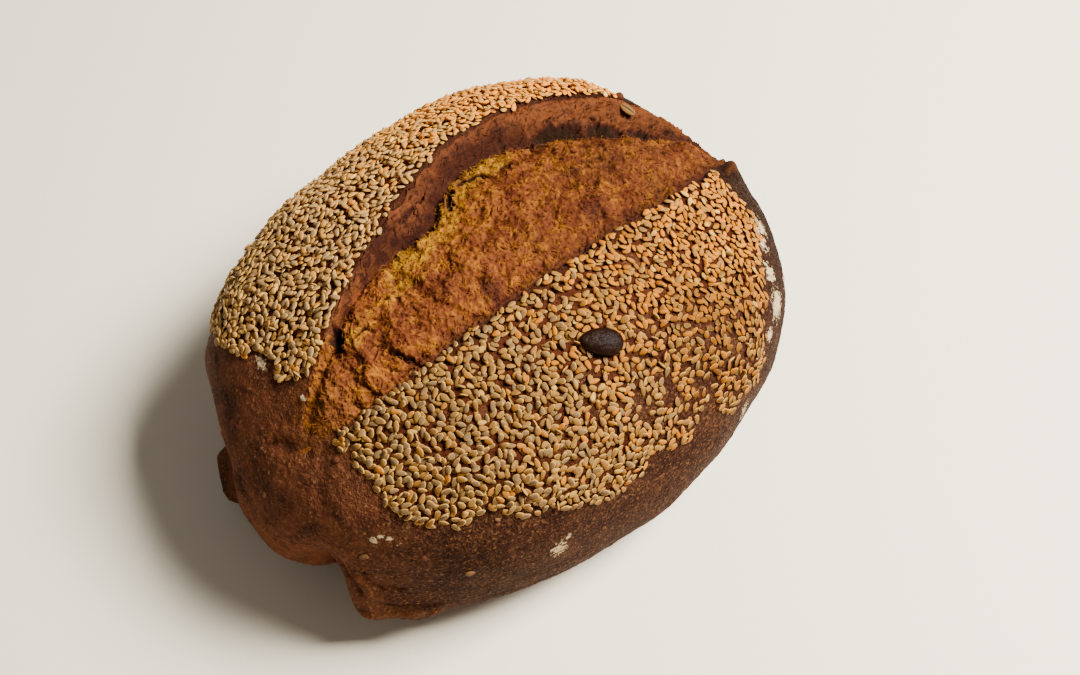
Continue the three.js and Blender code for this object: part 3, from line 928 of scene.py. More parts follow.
def smudge_mask(x, y):
    """Strength of the soft dark places, from 0 to 1: bells broken up by noise."""
    plan = on_plan(x, y)
    moved = np.stack([x + 2.2 * noise(plan, 4.0, 32), y + 2.2 * noise(plan, 4.0, 33)])
    total = np.zeros(np.shape(x))
    for cx, cy, reach, strength in SMUDGES:
        gap = ((moved[0] - cx) ** 2 + (moved[1] - cy) ** 2) / reach**2
        total = np.maximum(total, strength * np.exp(-gap))
    return total


def tear_mask(x, y):
    """Depth of the torn holes in mm: narrow bells across, wide along, each with its own turn."""
    depth = np.zeros(np.shape(x))
    ragged = noise(on_plan(x, y), 1.7, 31)
    for cx, cy, reach, half_width, turn, deep in TEARS:
        angle = math.radians(turn)
        forward = (x - cx) * math.cos(angle) + (y - cy) * math.sin(angle)
        sideways = (y - cy) * math.cos(angle) - (x - cx) * math.sin(angle)
        sideways = sideways + 0.9 * ragged
        hole = np.exp(-((forward / reach) ** 4) - np.abs(sideways / half_width) ** 3)
        depth = np.maximum(depth, deep * hole)
    return depth


def crumb_texture(point):
    """Torn texture from about -1 to 1: warped ridges of three sizes, longer across the loaf,
    where the dough was pulled apart."""
    pulled = (point + 1.3 * warp(point, 3.2, 40)) * [1.0, 0.66, 1.0]
    shreds = 0.8 * ridges(pulled, 2.5, 21) ** 2 + 0.75 * ridges(pulled, 1.35, 22) ** 1.5
    shreds = shreds + 0.5 * ridges(point, 0.85, 23)
    return 1.15 * shreds - 0.95


def wall_texture(x, across, z):
    """Long wrinkles that run along the torn wall, from -1 to 1."""
    drawn = np.stack([0.1 * x, across, 0.45 * z], -1)
    drawn = drawn + 0.5 * noise(np.stack([x, across, z], -1), 6.0, 34)[..., None]
    folds = 1.9 * ridges(drawn, 3.2, 35) ** 1.6 + 0.9 * ridges(drawn * [2.5, 1, 1], 1.5, 36)
    return folds + 0.8 * noise(drawn * [2, 1, 1], 5.0, 38) - 1.1


def crumb_surface(x, y, height):
    """The torn surface at plan positions: its angles, its relief in mm and its masks."""
    along, around = angles_at(x, y)
    plain = body_point(along, around)
    lip = near_edge(x)
    crest = far_edge(x)
    valley = lip_y(x) + crest_span(x) - wall_width(x) + 1.2 * noise(plain * [1, 0, 0], 4.5, 37)
    share = score_share(x)
    wall = smooth(-0.6, 1.2, y - valley) * smooth(0.08, 0.26, share)
    width = np.maximum(crest - valley, 1)
    shreds = crumb_texture(plain)
    wrinkles = wall_texture(x, y - crest, plain[..., 2])
    right = smooth(-25, 12, x)
    drawn = np.stack([0.11 * x, y - crest, 0.3 * plain[..., 2]], -1)
    drawn = drawn + 0.35 * noise(plain, 3.5, 54)[..., None]
    streaks = 0.9 * noise(drawn, 1.3, 55) + 0.9 * noise(drawn * [2.2, 1, 1], 0.7, 56)
    tears = tear_mask(x, y)
    flap = noise(plain * [1, 0.8, 1], 7.0, 53)
    swell = 1.2 * noise(plain, 9.0, 51) + 1.0 * noise(plain, 4.2, 52)
    swell = swell + 0.8 * smooth(-0.03, 0.1, flap)
    shallow = smooth(0.0, 0.12, share)
    relief = shallow * (1 - wall) * (0.64 * height * shreds + 1.1 * swell)
    calm = (0.3 + 0.7 * smooth(0, 0.5, (crest - y) / width)) * np.minimum(1, 0.25 + width / 12)
    relief = relief + shallow * calm * wall * height * (1.3 * wrinkles + 0.85 * shreds)
    inside = np.minimum(y - lip, crest - y)
    tucked = smooth(0.9, -1.2, inside)
    curled = 0.8 * bell(tears, 0.4, 0.3) * (1 - tucked)
    relief = relief * (1 - 0.8 * tucked) + curled - tears - EDGE_DROP - 1.2 * tucked
    undercut = bell(y, valley + 0.3, 1.5) * smooth(0.2, 0.4, share) * smooth(1, 0.9, share)
    relief = relief - 1.5 * undercut
    rise = 1 - smooth(0, 1, (y - valley) / width)
    near_tip = smooth(0.4, 0.22, share) * smooth(0.03, 0.14, share)
    relief = relief + TIP_FILL * rise * np.exp(-((np.minimum(y - valley, 0) / 6) ** 2)) * near_tip
    masks = Sizes(
        height=np.clip(0.5 + 0.5 * shreds * (1 - wall) + 0.45 * wrinkles * wall, 0, 1),
        wall=wall,
        yellow=yellow_share(x, y, valley),
        # The next three masks carry painted shade: in the torn holes and the creases of the flaps,
        # in the valley under the crest, and where the crumb runs under the crust's edges.
        hollow=np.clip(tears / 1.9 + 0.2 * bell(flap, -0.05, 0.05) * (1 - wall), 0, 1),
        valley=bell(y, valley + 1.2, 2.8) * smooth(0.2, 0.4, share),
        rim=smooth(6.5, 1.0, y - lip + 1.6 * swell) * smooth(0.1, 0.3, share),
        lip=smooth(1.6, 0.1, inside) * smooth(0.18, 0.36, share),
        smudge=smudge_mask(x, y),
        tip=smooth(0.19, 0.06, share) * (1 - 0.5 * smooth(-1.5, 0.5, y - valley)),
        # Upper is painted light on the wall: lighter towards the crest and the far end, darker
        # towards the notched end.
        upper=np.clip((y - valley) / width, 0, 1) * (0.28 + 0.95 * right) - 0.32 * (1 - right)
              + 0.25 * smooth(58, 82, x),
        streak=streaks,
    )
    return along, around, relief, masks


def crumb_grid(settings):
    """Points and masks of the crumb's upper side, between the two torn edges and a little under
    each: rows across the score at stations along it."""
    turn = np.linspace(0, math.pi, CRUMB_STATIONS + 2)[1:-1]
    share = 0.35 * (0.5 - 0.5 * np.cos(turn))
    share = share + 0.65 * np.linspace(0, 1, CRUMB_STATIONS + 2)[1:-1]
    x = SCORE.notched_tip_x + (SCORE.far_tip_x - SCORE.notched_tip_x) * share
    low = near_edge(x) - TUCK_UNDER
    high = far_edge(x) + TUCK_UNDER
    across = np.linspace(0, 1, CRUMB_ROWS)
    y = high[:, None] + (low - high)[:, None] * across
    x = x[:, None] + 0 * y
    along, around, relief, masks = crumb_surface(x, y, settings.shred_height / MM)
    return along, around, loaf_point(along, around, relief), masks


def yellow_share(x, y, valley):
    """Where the crumb is fresh and yellow: a band inside the valley, a stripe down towards the
    notched tip and a few broad patches."""
    band = smooth(-1.0, 1.5, valley - y) * smooth(15, 4, valley - y) * smooth(-34, -18, x)
    band = band * smooth(34, 18, x)
    stripe = bell(y, 0.14 * x + 9.5, 4.5) * smooth(-62, -44, x) * smooth(-12, -26, x)
    low_patch = bell(x, -45, 7) * bell(y, -9, 5)
    patches = noise(on_plan(x, y), 8.0, 61)
    share = 1.3 * band + 0.65 * stripe + 0.35 * low_patch + 0.3 * patches * smooth(55, 5, x)
    return np.clip(share, 0, 1)


def crumb_mesh(settings, material):
    """The torn crumb as a closed tube: the upper side of each station, then a plain underside
    inside the crust, and a point at each tip of the score."""
    along, around, points, masks = crumb_grid(settings)
    under = np.linspace(CRUMB_ROWS - 1, 0, CRUMB_UNDER_ROWS + 2)[1:-1].round().astype(int)
    depth = 2.0 + EDGE_DROP + 7.0 * np.sin(math.pi * under / (CRUMB_ROWS - 1)) ** 0.6
    below = loaf_point(along[:, under], around[:, under], -depth + 0 * along[:, under])
    rings = np.concatenate([points, below], axis=1)
    tips = rings[[0, -1]].mean(axis=1)
    vertices = np.concatenate([rings.reshape(-1, 3), tips])
    layers = {}
    for key, mask in vars(masks).items():
        filled = np.concatenate([mask, mask[:, under]], axis=1).ravel()
        layers[key] = np.concatenate([filled, [0, 0]])
    faces = [part[:, ::-1] for part in tube_faces(*rings.shape[:2])]
    return make_piece("crumb", vertices, faces, material, **layers)


# Loose shreds, in mm and radians: how far they stay from the score's tips and from its edges,
# the tears that they keep off, how they turn, lean and roll, and their half sizes.
SHRED = Sizes(
    tip_gaps=(6, 4), edge_gaps=(0.8, 0.2), full_span=62, least_tear=0.7, deepest=-1.6,
    turn=1.1, wall_turn=(0.5, 0.35), lean=(0.1, 0.22), roll=0.4, lift=0.12,
    thickness=0.085, reach=(0.5, 1.3), bend=0.5, rise=0.14,
)


def shred_mesh(settings, material):
    """Loose shreds over the crumb: short strands with four rings of four points, that taper to
    both ends, bend sideways, and lift at one end."""
    random = np.random.default_rng(3)
    tries = settings.shreds * 4
    first = SCORE.notched_tip_x + SHRED.tip_gaps[0]
    last = SCORE.far_tip_x - SHRED.tip_gaps[1]
    x = first + (last - first) * random.random(tries)
    keep = random.random(tries) < crest_span(x) / SHRED.full_span
    x = x[keep][:settings.shreds]
    low = near_edge(x) + SHRED.edge_gaps[0]
    high = far_edge(x) - SHRED.edge_gaps[1]
    y = low + (high - low) * random.random(len(x))
    whole = tear_mask(x, y) < SHRED.least_tear
    x, y = x[whole], y[whole]
    count = len(x)
    height = settings.shred_height / MM
    along, around, relief, masks = crumb_surface(x, y, height)
    normal = outward_normal(body_point, along, around)
    turn = np.pi / 2 + SHRED.turn * random.standard_normal(count)
    mean, spread = SHRED.wall_turn
    turn = np.where(masks.wall > 0.5, mean + spread * random.standard_normal(count), turn)
    heading = on_plan(np.cos(turn), np.sin(turn))
    heading = heading * np.where(random.random(count) < 0.5, 1, -1)[:, None]
    centre = loaf_point(along, around, np.maximum(relief, SHRED.deepest))
    mean, spread = SHRED.lean
    lean = mean + spread * random.standard_normal(count)
    roll = SHRED.roll * random.standard_normal(count)
    frames = frames_at(centre, normal, heading)
    frames = turned(frames, lean, roll, np.full(count, SHRED.lift))
    share = np.array([0.1, 0.38, 0.66, 0.92])
    ring = np.array([0.25, 0.75, 1.25, 1.75]) * math.pi
    thick = SHRED.thickness * (0.7 + 0.8 * random.random(count))
    least, spread = SHRED.reach
    reach = least + spread * random.random(count) ** 2
    bend = SHRED.bend * random.standard_normal(count) * reach
    lift = SHRED.rise * random.random(count) * reach
    path_x = (share - 0.5)[None] * 2 * reach[:, None]
    path_y = np.sin(math.pi * share) * bend[:, None]
    path_z = (share**2) * 2 * lift[:, None]
    radius = thick[:, None] * np.sin(math.pi * (0.12 + 0.74 * share))
    rings = np.stack([
        path_x[..., None] + 0 * ring,
        path_y[..., None] + radius[..., None] * np.cos(ring) * 1.5,
        path_z[..., None] + radius[..., None] * np.sin(ring),
    ], -1)
    start = np.stack([-reach, 0 * reach, 0 * reach], -1)[:, None]
    end = np.stack([reach, 0 * reach, 2.3 * lift], -1)[:, None]
    local = np.concatenate([rings.reshape(count, -1, 3), start, end], axis=1)
    # Loose shreds get their own relief height for colour, half the painted shade of the holes and
    # the valley, and less of the wall's colours.
    masks.height = 0.4 + 0.45 * random.random(count)
    masks.hollow = 0.5 * masks.hollow
    masks.valley = 0.5 * masks.valley
    masks.wall = 0.8 * masks.wall
    layers = {key: mask[:, None] for key, mask in vars(masks).items()}
    points = in_frames(local, frames)
    return make_scatter("crumb_shreds", points, tube_faces(4, 4), material, **layers)


# Near black painted shade deep in the torn holes.
HOLE_SHADE_COLOUR = (0.020, 0.008, 0.003)


def crumb_material(settings):
    """Torn crumb: golden on raised shreds and deep red brown in the hollows, partly its own tones
    and partly painted highlight and shade, orange brown between, yellow where fresh, with a brown
    streaked wall painted lighter towards the crest, and painted shade in the holes, in the
    valley under the crest and along its edges."""
    material, shader, surface = new_material("Torn crumb", 0.066)
    place = shader.place()
    fibre = shader.noise(shader.stretched(place, (1.0, 0.5, 1.0)), 0.0008, 4.0, 0.65, 0.6)
    clump = shader.noise(place, 0.0024, 3.0, 0.6)
    patch = shader.noise(place, 0.008, 4.0, 0.6)
    relief = shader.attribute("height")
    height = shader.line(relief, 0.6, 0.2)
    for pattern, strength in ((fibre, 0.9), (clump, 1.05), (patch, -1.0)):
        height = shader.varied(height, pattern, strength)
    # Colour by relief: partly the crumb's own tones, partly painted shade in the hollows and
    # painted highlight on raised shreds.
    shader.colour = settings.deep
    shader.paint(shader.span(height, 0.05, 0.5), settings.orange)
    shader.paint(shader.span(height, 0.5, 1.05), settings.tip)
    axis = shader.add("ShaderNodeSeparateXYZ", {0: place})["X"]
    redder = shader.times(shader.span(patch, 0.46, 0.6),
                          shader.span(axis, -0.055, -0.02, 0.35, 1.0), 0.65)
    shader.paint(redder, settings.red)
    broad = shader.span(shader.noise(place, 0.014, 2.0, 0.5), 0.5, 0.66)
    shader.paint(shader.times(broad, 0.25), settings.red)
    strands = shader.span(shader.noise(place, 0.0016, 4.0, 0.6), 0.5, 0.64)
    shader.paint(shader.times(strands, 0.6), settings.red)
    golden = shader.span(shader.noise(place, 0.0021, 4.0, 0.65), 0.52, 0.64, 0.0, 0.45)
    shader.paint(golden, settings.tip)
    yellow = shader.varied(shader.attribute("yellow"), clump, 2.2)
    fresh = shader.blend(shader.span(height, 0.1, 0.9), settings.orange, settings.yellow)
    shader.paint(shader.times(shader.span(yellow, 0.35, 1.2), 0.85), fresh)
    soft = shader.largest(shader.times(shader.attribute("rim"), 0.7), shader.attribute("smudge"))
    shader.paint(shader.times(soft, shader.span(fibre, 0.75, 0.35, 0.6, 1.0)), settings.plum)
    fine = shader.noise(shader.stretched(place, (0.12, 1.0, 0.8)), 0.0007, 4.0, 0.65, 0.4)
    streak = shader.varied(shader.attribute("streak"), fine, 2.6)
    # Painted light and shade on the wall: lighter with its streaks, its raised wrinkles and
    # towards the crest and the far end, darker towards the valley and the notched end.
    streaks_and_light = shader.line(streak, 0.9, shader.line(relief, 0.35, shader.attribute("upper")))
    wall = shader.blend(shader.span(streaks_and_light, 0.0, 0.55), settings.char, settings.wall)
    wall = shader.blend(shader.span(streaks_and_light, 0.55, 1.1, 0.0, 0.9), wall, settings.orange)
    shader.paint(shader.times(shader.attribute("wall"), 0.95), wall)
    brown = shader.blend(shader.span(height, 0.1, 0.8), settings.wall, settings.tan)
    shader.paint(shader.times(shader.attribute("tip"), 0.95), brown)
    shader.darken(shader.span(axis, -0.045, 0.055, 0.92, 0.68))
    # Painted shade: dark in the torn holes and the creases of the flaps, in the valley under the
    # crest and where the crumb runs under the crust's edges, near black deep in the holes.
    hole = shader.attribute("hollow")
    shader.paint(shader.largest(shader.span(hole, 0.15, 0.6),
                                shader.times(shader.attribute("valley"), 0.85),
                                shader.times(shader.attribute("lip"), 0.65)), settings.char)
    shader.paint(shader.span(hole, 0.55, 0.95), HOLE_SHADE_COLOUR)
    speckle = shader.group(speckle_group(), Place=place, Size=0.0009, Blotch=0.9)
    bumps = shader.line(speckle["Height"], 0.6, fibre)
    shader.fill(surface, {"Base Color": shader.colour, "Roughness": 0.75,
                          "Normal": shader.bump(bumps, 0.0006, 0.7)})
    return material


class BREAD_OT_crumb(bpy.types.Operator):
    """Build the torn crumb of the open score"""

    bl_idname = "bread.crumb"
    bl_label = "Crumb"

    def execute(self, context):
        settings = context.scene.bread_crumb
        material = crumb_material(settings)
        finish_piece(crumb_mesh(settings, material), "crumb")
        finish_piece(shred_mesh(settings, material), "crumb")
        return {"FINISHED"}


# ---------------------------------------------------------------- seeds

# Lower edges of the sesame on the near and the far side: x, then the height it reaches down to.
NEAR_EDGE = ((-69, 71), (-66, 66), (-59, 63), (-47, 65), (-34, 60), (-21, 55), (-11, 52), (2, 55),
             (12, 51), (20, 56), (28, 49), (42, 46), (52, 57), (63, 61), (75, 60))
FAR_EDGE = ((-71, 66), (-66, 54), (-40, 48), (0, 44), (40, 46), (66, 54), (78, 62))
NEAR_ENDS = (-66, 74)
FAR_TIP = 70

# Notched end of the sesame on the far side: y, then the x it reaches to.
FAR_NOTCHED_END = ((-6, -50), (0, -57), (5, -63), (9, -67), (13, -65), (20, -64.5), (24, -69),
                   (34, -70.5), (46, -68), (60, -62))

# Thin or bare spots: x, y, reach and how bare.
BARE_SPOTS = (
    (27.1, -27.3, 3.2, 0.9), (16.5, -43.0, 3.6, 0.9), (-6.1, -45.7, 2.8, 0.9),
    (2.4, -58.4, 4.2, 0.95), (-33.5, -35.4, 1.8, 0.7), (23.0, -62.0, 4.4, 0.9),
    (38.0, -58.0, 4.0, 0.8), (13.0, -60.0, 3.6, 0.8), (-9.1, -53.4, 2.6, 0.8),
    (13.9, -66.0, 2.6, 0.8), (30.0, -54.0, 3.0, 0.6), (10.0, -51.0, 3.0, 0.6),
)
PUMPKIN = Sizes(
    x=2.8, y=-40.3, length=12, width=7.6, thickness=2.8, heading=(-0.75, 0.66), gap=0.35,
    roll=0.0, clear=4.6, taper=0.16, outline_power=0.9, profile_power=0.7, section_power=1.6,
    stations=60, sides=48,
)


def seed_share(x, y, z):
    """How thickly sesame covers the crust there, from 0 to 1: two patches with wandering lower
    edges, thinner low on the far half of the near side, with bare spots."""
    plan = on_plan(x, y)
    wander = 2.6 * noise(plan, 9.0, 71)
    near_low = np.interp(x, *np.transpose(NEAR_EDGE))
    near = smooth(-1.5, 2.5, z - near_low + wander) * smooth(0.3, 1.0, near_edge(x) - y)
    near = near * smooth(-1.5, 1.5, x - NEAR_ENDS[0]) * smooth(-1.5, 1.5, NEAR_ENDS[1] - x)
    thin = smooth(-12, 12, x) * smooth(-40, -54, y)
    near = near * (1 - 0.55 * thin)
    for cx, cy, reach, bare in BARE_SPOTS:
        near = near * (1 - bare * np.exp(-(((x - cx) ** 2 + (y - cy) ** 2) / reach**2) ** 2))
    far_low = np.interp(x, *np.transpose(FAR_EDGE))
    far = smooth(-2, 3, z - far_low + wander) * smooth(-0.2, 0.5, y - far_edge(x))
    notched_end = np.interp(y, *np.transpose(FAR_NOTCHED_END))
    far = far * smooth(-1.2, 1.2, x - notched_end + 0.5 * wander) * smooth(-2, 2, FAR_TIP - x)
    return np.where(z > BODY.equator, np.maximum(near, far), 0.0)


def seed_shape(settings):
    """One sesame seed, pointed towards +X: a widest ring and a smaller one above it, between a
    top and a bottom. Returns its points, its faces and how near each point is to the rim."""
    turn = np.arange(8) * math.pi / 4
    narrow = 1 - 0.3 * np.cos(turn)
    outline = np.stack([0.5 * np.cos(turn), 0.5 * np.sin(turn) * narrow, 0 * turn], -1)
    rings = [outline * [0.66, 0.62, 0] + [-0.03, 0, 0.4], outline + [0, 0, 0.02]]
    points = np.concatenate([*rings, [[-0.06, 0, 0.5], [-0.06, 0, -0.5]]])
    size = np.array([settings.length, settings.width, settings.thickness]) / MM
    rim = np.concatenate([np.full(8, 0.25), np.ones(8), [0, 0]])
    faces = [part[:, ::-1] for part in tube_faces(2, 8)]
    quads = faces[0]
    triangles = np.concatenate([quads[:, [0, 1, 2]], quads[:, [0, 2, 3]], faces[1]])
    return points * size, [triangles], rim


# How sesame piles up, in mm: each disc's reach, how far the end discs are from the middle as a
# share of the seed's length, the rise over another seed, and the greatest heights. Then the
# steepest slope, the spread of lean and roll, and how many seeds stand on edge, and how.
PILE = Sizes(tries=80000, most=6200, reach=1.3, disc_gap=0.31, floor=0.22, step=0.55,
             least_gap=0.95, near_cap=1.1, far_cap=1.5, steepest=0.42, lean=0.07, roll=0.15,
             on_edge=0.03, edge_turn=(1.1, 0.3), edge_lift=0.3)


def seed_candidates(random, count):
    """Random angles on the crust's upper half, kept where sesame is wanted."""
    along = math.pi * (0.05 + 0.9 * random.random(count))
    around = math.pi * random.random(count)
    plain = body_point(along, around)
    area = station_half_width(along) / BODY.half_width
    wanted = seed_share(*np.moveaxis(plain, -1, 0))
    from_pumpkin = np.hypot(plain[:, 0] - PUMPKIN.x, plain[:, 1] - PUMPKIN.y)
    keep = random.random(count) < wanted * area * (from_pumpkin > PUMPKIN.clear)
    return along[keep], around[keep], wanted[keep]


def settle_seeds(settings):
    """Drops seeds one by one. Each is three discs in a row, and rests on the discs of the seeds
    already below it, which sets its height and how far it leans. Seeds that would lie too high
    for their patch, or right on top of another, are left out."""
    random = np.random.default_rng(7)
    along, around, wanted = seed_candidates(random, PILE.tries)
    centre = loaf_point(along, around)
    normal = outward_normal(loaf_point, along, around)
    turn = 2 * math.pi * random.random(len(along))
    frames = frames_at(centre, normal, on_plan(np.cos(turn), np.sin(turn)))
    ends = PILE.disc_gap * settings.length / MM * np.array([-1, 0, 1])
    discs = centre[:, None] + frames.forward[:, None] * ends[None, :, None]
    keys = [tuple(key) for key in np.floor(centre / PILE.reach / 2).astype(int).tolist()]
    near = centre[:, 1] < lip_y(centre[:, 0])
    cap = np.where(near, PILE.near_cap, PILE.far_cap) * (0.55 + 0.45 * wanted)
    steps = [(i, j, k) for i in (-1, 0, 1) for j in (-1, 0, 1) for k in (-1, 0, 1)]
    heights = np.zeros((len(along), 3))
    taken, chosen = {}, []
    for i, (kx, ky, kz) in enumerate(keys):
        if len(chosen) >= PILE.most:
            break
        below = [r for dx, dy, dz in steps for r in taken.get((kx + dx, ky + dy, kz + dz), ())]
        rest = np.full(3, PILE.floor)
        if below:
            gap = np.linalg.norm(discs[below][:, :, None] - discs[i][None, None], axis=-1)
            if gap[:, 1, 1].min() < PILE.least_gap:
                continue
            dome = 1 - np.minimum(gap / PILE.reach, 1) ** 2
            support = np.where(dome > 0, heights[below][:, :, None] + PILE.step * dome**0.5, 0)
            rest = np.maximum(rest, support.max(axis=(0, 1)))
        slope = (rest[2] - rest[0]) / (ends[2] - ends[0])
        slope = np.clip(slope, -PILE.steepest, PILE.steepest)
        middle = max(rest[1], 0.5 * (rest[0] + rest[2]))
        if middle > cap[i]:
            continue
        heights[i] = middle + slope * ends
        taken.setdefault((kx, ky, kz), []).append(i)
        chosen.append(i)
    chosen = np.array(chosen)
    count = len(chosen)
    lean = np.arctan2(heights[chosen, 2] - heights[chosen, 0], ends[2] - ends[0])
    lean = lean + PILE.lean * random.standard_normal(count)
    roll = PILE.roll * random.standard_normal(count)
    on_edge = random.random(count) < PILE.on_edge
    least, spread = PILE.edge_turn
    roll = np.where(on_edge, least + spread * random.random(count), roll)
    lift = heights[chosen, 1] + np.where(on_edge, PILE.edge_lift, 0.0)
    kept = Sizes(**{key: values[chosen] for key, values in vars(frames).items()})
    return turned(kept, lean, roll, lift), random


def sesame_mesh(settings, material):
    """All the sesame as one joined mesh, with a tint and a shade for each seed, and a rim mask."""
    frames, random = settle_seeds(settings)
    count = len(frames.centre)
    shape, faces, rim = seed_shape(settings)
    sizes = 1 + np.array([0.09, 0.1, 0.14]) * np.clip(random.standard_normal((count, 3)), -2, 2)
    points = in_frames(shape[None] * sizes[:, None], frames)
    x, y = frames.centre[:, 0], frames.centre[:, 1]
    warm = 0.2 + 0.39 * smooth(-45, 50, x) - 0.09 * smooth(0, 40, y) * smooth(60, -10, x)
    patch = 0.08 * noise(frames.centre, 11.0, 81)
    tint = np.clip(warm + patch + 0.15 * random.standard_normal(count), 0, 1)
    tint = np.where(random.random(count) < 0.03, 1.0, np.minimum(tint, 0.84))
    # Shade: each seed's own random brightness, plus painted light and shade: lighter on the far
    # patch, more so from its middle on, and at the far end, darker on the near side towards the
    # notched end and low on the near side's far half.
    far = smooth(-10, 15, y)
    shade = 0.95 * random.random(count) + 0.9 * far * (1.3 + 1.4 * smooth(-55, -15, x))
    shade = shade + 0.9 * smooth(25, 60, x) - 0.5 * smooth(-25, -50, x) * (1 - far)
    shade = shade - 1.2 * smooth(0, 40, x) * smooth(-35, -55, y)
    return make_scatter("sesame", points, faces, material, tint=tint[:, None], rim=rim,
                        shade=shade[:, None])


CREASE_COLOUR = (0.03, 0.015, 0.008)


def sesame_material(settings):
    """Toasted sesame: a tint for each seed from olive to rust, a few pale, darkened by a shade for
    each seed that holds painted light and shade, with a paler rim that is partly painted light on
    the shaded sides, fine mottling, and a dark crease where the rim mask is below zero."""
    material, shader, surface = new_material("Toasted sesame", 0.05)
    tint = shader.attribute("tint")
    shader.colour = settings.olive
    shader.paint(shader.span(tint, 0.05, 0.32), settings.tan)
    shader.paint(shader.span(tint, 0.36, 0.6), settings.gold)
    shader.paint(shader.span(tint, 0.62, 0.84), settings.rust)
    shader.paint(shader.span(tint, 0.9, 0.98), settings.pale)
    mottle = shader.noise(shader.place(), 0.0007, 3.0, 0.6)
    shader.darken(shader.times(shader.line(shader.attribute("shade"), 0.28, 0.58),
                               shader.span(mottle, 0.3, 0.75, 0.86, 1.1)))
    # The paler rim is partly the seed's own pale edge and partly painted light on its sides, which
    # the lamp leaves darker.
    rim = shader.attribute("rim")
    shader.paint(shader.times(shader.span(rim, 0.3, 0.75), 0.72,
                              shader.span(tint, 0.35, 0.65, 1.0, 0.7)), settings.pale)
    shader.paint(shader.span(rim, -0.3, -1.2), CREASE_COLOUR)
    shader.fill(surface, {"Base Color": shader.colour, "Roughness": 0.5,
                          "Normal": shader.bump(mottle, 0.00012, 0.6)})
    return material


class BREAD_OT_sesame(bpy.types.Operator):
    """Scatter the sesame over both patches of crust"""

    bl_idname = "bread.sesame"
    bl_label = "Sesame"

    def execute(self, context):
        settings = context.scene.bread_seeds
        finish_piece(sesame_mesh(settings, sesame_material(settings)), "sesame")
        return {"FINISHED"}


def pumpkin_mesh(material):
    """The pumpkin seed: a flat oval narrower towards its point, with a groove inside its raised
    rim and faint lengthwise ridges."""
    turn = math.pi * np.arange(1, PUMPKIN.stations) / PUMPKIN.stations
    side = 2 * math.pi * np.arange(PUMPKIN.sides) / PUMPKIN.sides
    outline = np.sin(turn) ** PUMPKIN.outline_power * (1 - PUMPKIN.taper * np.cos(turn))
    profile = np.sin(turn) ** PUMPKIN.profile_power
    x = 0.5 * PUMPKIN.length * np.cos(turn)[:, None] + 0 * side
    y = 0.5 * PUMPKIN.width * outline[:, None] * np.cos(side)
    swell = super_coordinate(np.sin(side), PUMPKIN.section_power)
    edge = np.abs(np.cos(side)) + 0 * x
    groove = 0.16 * bell(edge, 0.86, 0.05) * profile[:, None]
    ridge = 0.06 * np.sin(9 * y + 1.5 * np.sin(x)) * (1 - smooth(0.6, 0.85, edge))
    z = 0.5 * PUMPKIN.thickness * profile[:, None] * swell
    z = z - (groove - ridge * profile[:, None]) * np.sign(np.sin(side))
    lift = PUMPKIN.gap + 0.5 * PUMPKIN.thickness
    mask = np.append(edge.ravel(), [1, 1])
    return lay_oval("pumpkin_husk", PUMPKIN, (x, y, z), lift, material, rim=mask)


HUSK_STREAK_COLOUR = (0.028, 0.014, 0.007)


def pumpkin_material(settings):
    """Roasted husk: near black, browner in streaks, with a slight sheen."""
    material, shader, surface = new_material("Roasted husk", 0.032)
    streak = shader.noise(shader.place(), 0.0016, 4.0, 0.6)
    shader.colour = settings.husk
    light = shader.blend(0.45, settings.husk, HUSK_STREAK_COLOUR)
    shader.paint(shader.span(streak, 0.45, 0.72), light)
    shader.fill(surface, {"Base Color": shader.colour, "Roughness": 0.34,
                          "Normal": shader.bump(streak, 0.0005, 0.8)})
    return material


class BREAD_OT_pumpkin_seed(bpy.types.Operator):
    """Lay the pumpkin seed on the near side of the crust"""

    bl_idname = "bread.pumpkin_seed"
    bl_label = "Pumpkin seed"

    def execute(self, context):
        material = pumpkin_material(context.scene.bread_seeds)
        finish_piece(pumpkin_mesh(material), "pumpkin_seed", "pumpkin_seed")
        return {"FINISHED"}


# Scraps baked onto the crust: x, z, side (1 far, -1 near), half sizes and tint.
SCRAPS = (
    (-77.0, 52.2, -1, 1.3, 0.9, 0.7, 0.8), (-57.2, 44.9, -1, 1.3, 1.1, 0.7, 0.9),
    (-65.6, 53.4, -1, 0.9, 0.9, 0.5, 0.2), (-37.0, 64.8, -1, 1.0, 0.8, 0.6, 0.25),
    (-87.0, 54.7, -1, 0.9, 0.7, 0.5, 0.6), (-69.4, 71.6, -1, 1.0, 0.9, 0.6, 0.3),
    (-46.0, 62.2, -1, 0.8, 0.6, 0.4, 0.9), (-50.0, 38.0, -1, 0.8, 0.6, 0.4, 0.4),
    (-20.0, 40.0, -1, 0.7, 0.6, 0.4, 0.5), (18.0, 42.0, -1, 0.8, 0.6, 0.4, 0.3),
    (66.5, 61.9, 1, 1.6, 1.2, 1.3, 0.1), (72.2, 63.1, 1, 1.6, 1.3, 1.6, 0.25),
    (42.0, 63.0, 1, 1.2, 1.0, 1.0, 0.1), (-30.0, 62.0, 1, 1.2, 1.0, 1.0, 0.1),
)
GRAIN = Sizes(x=69.6, y=19.6, length=5.4, width=3.3, thickness=1.3, roll=0.15,
              heading=(0.4, -0.92), crease_depth=0.42, stations=24, sides=24, tint=0.36,
              shade=-0.2)


LUMP = Sizes(stations=8, sides=10, unevenness=0.3, cell=0.9)


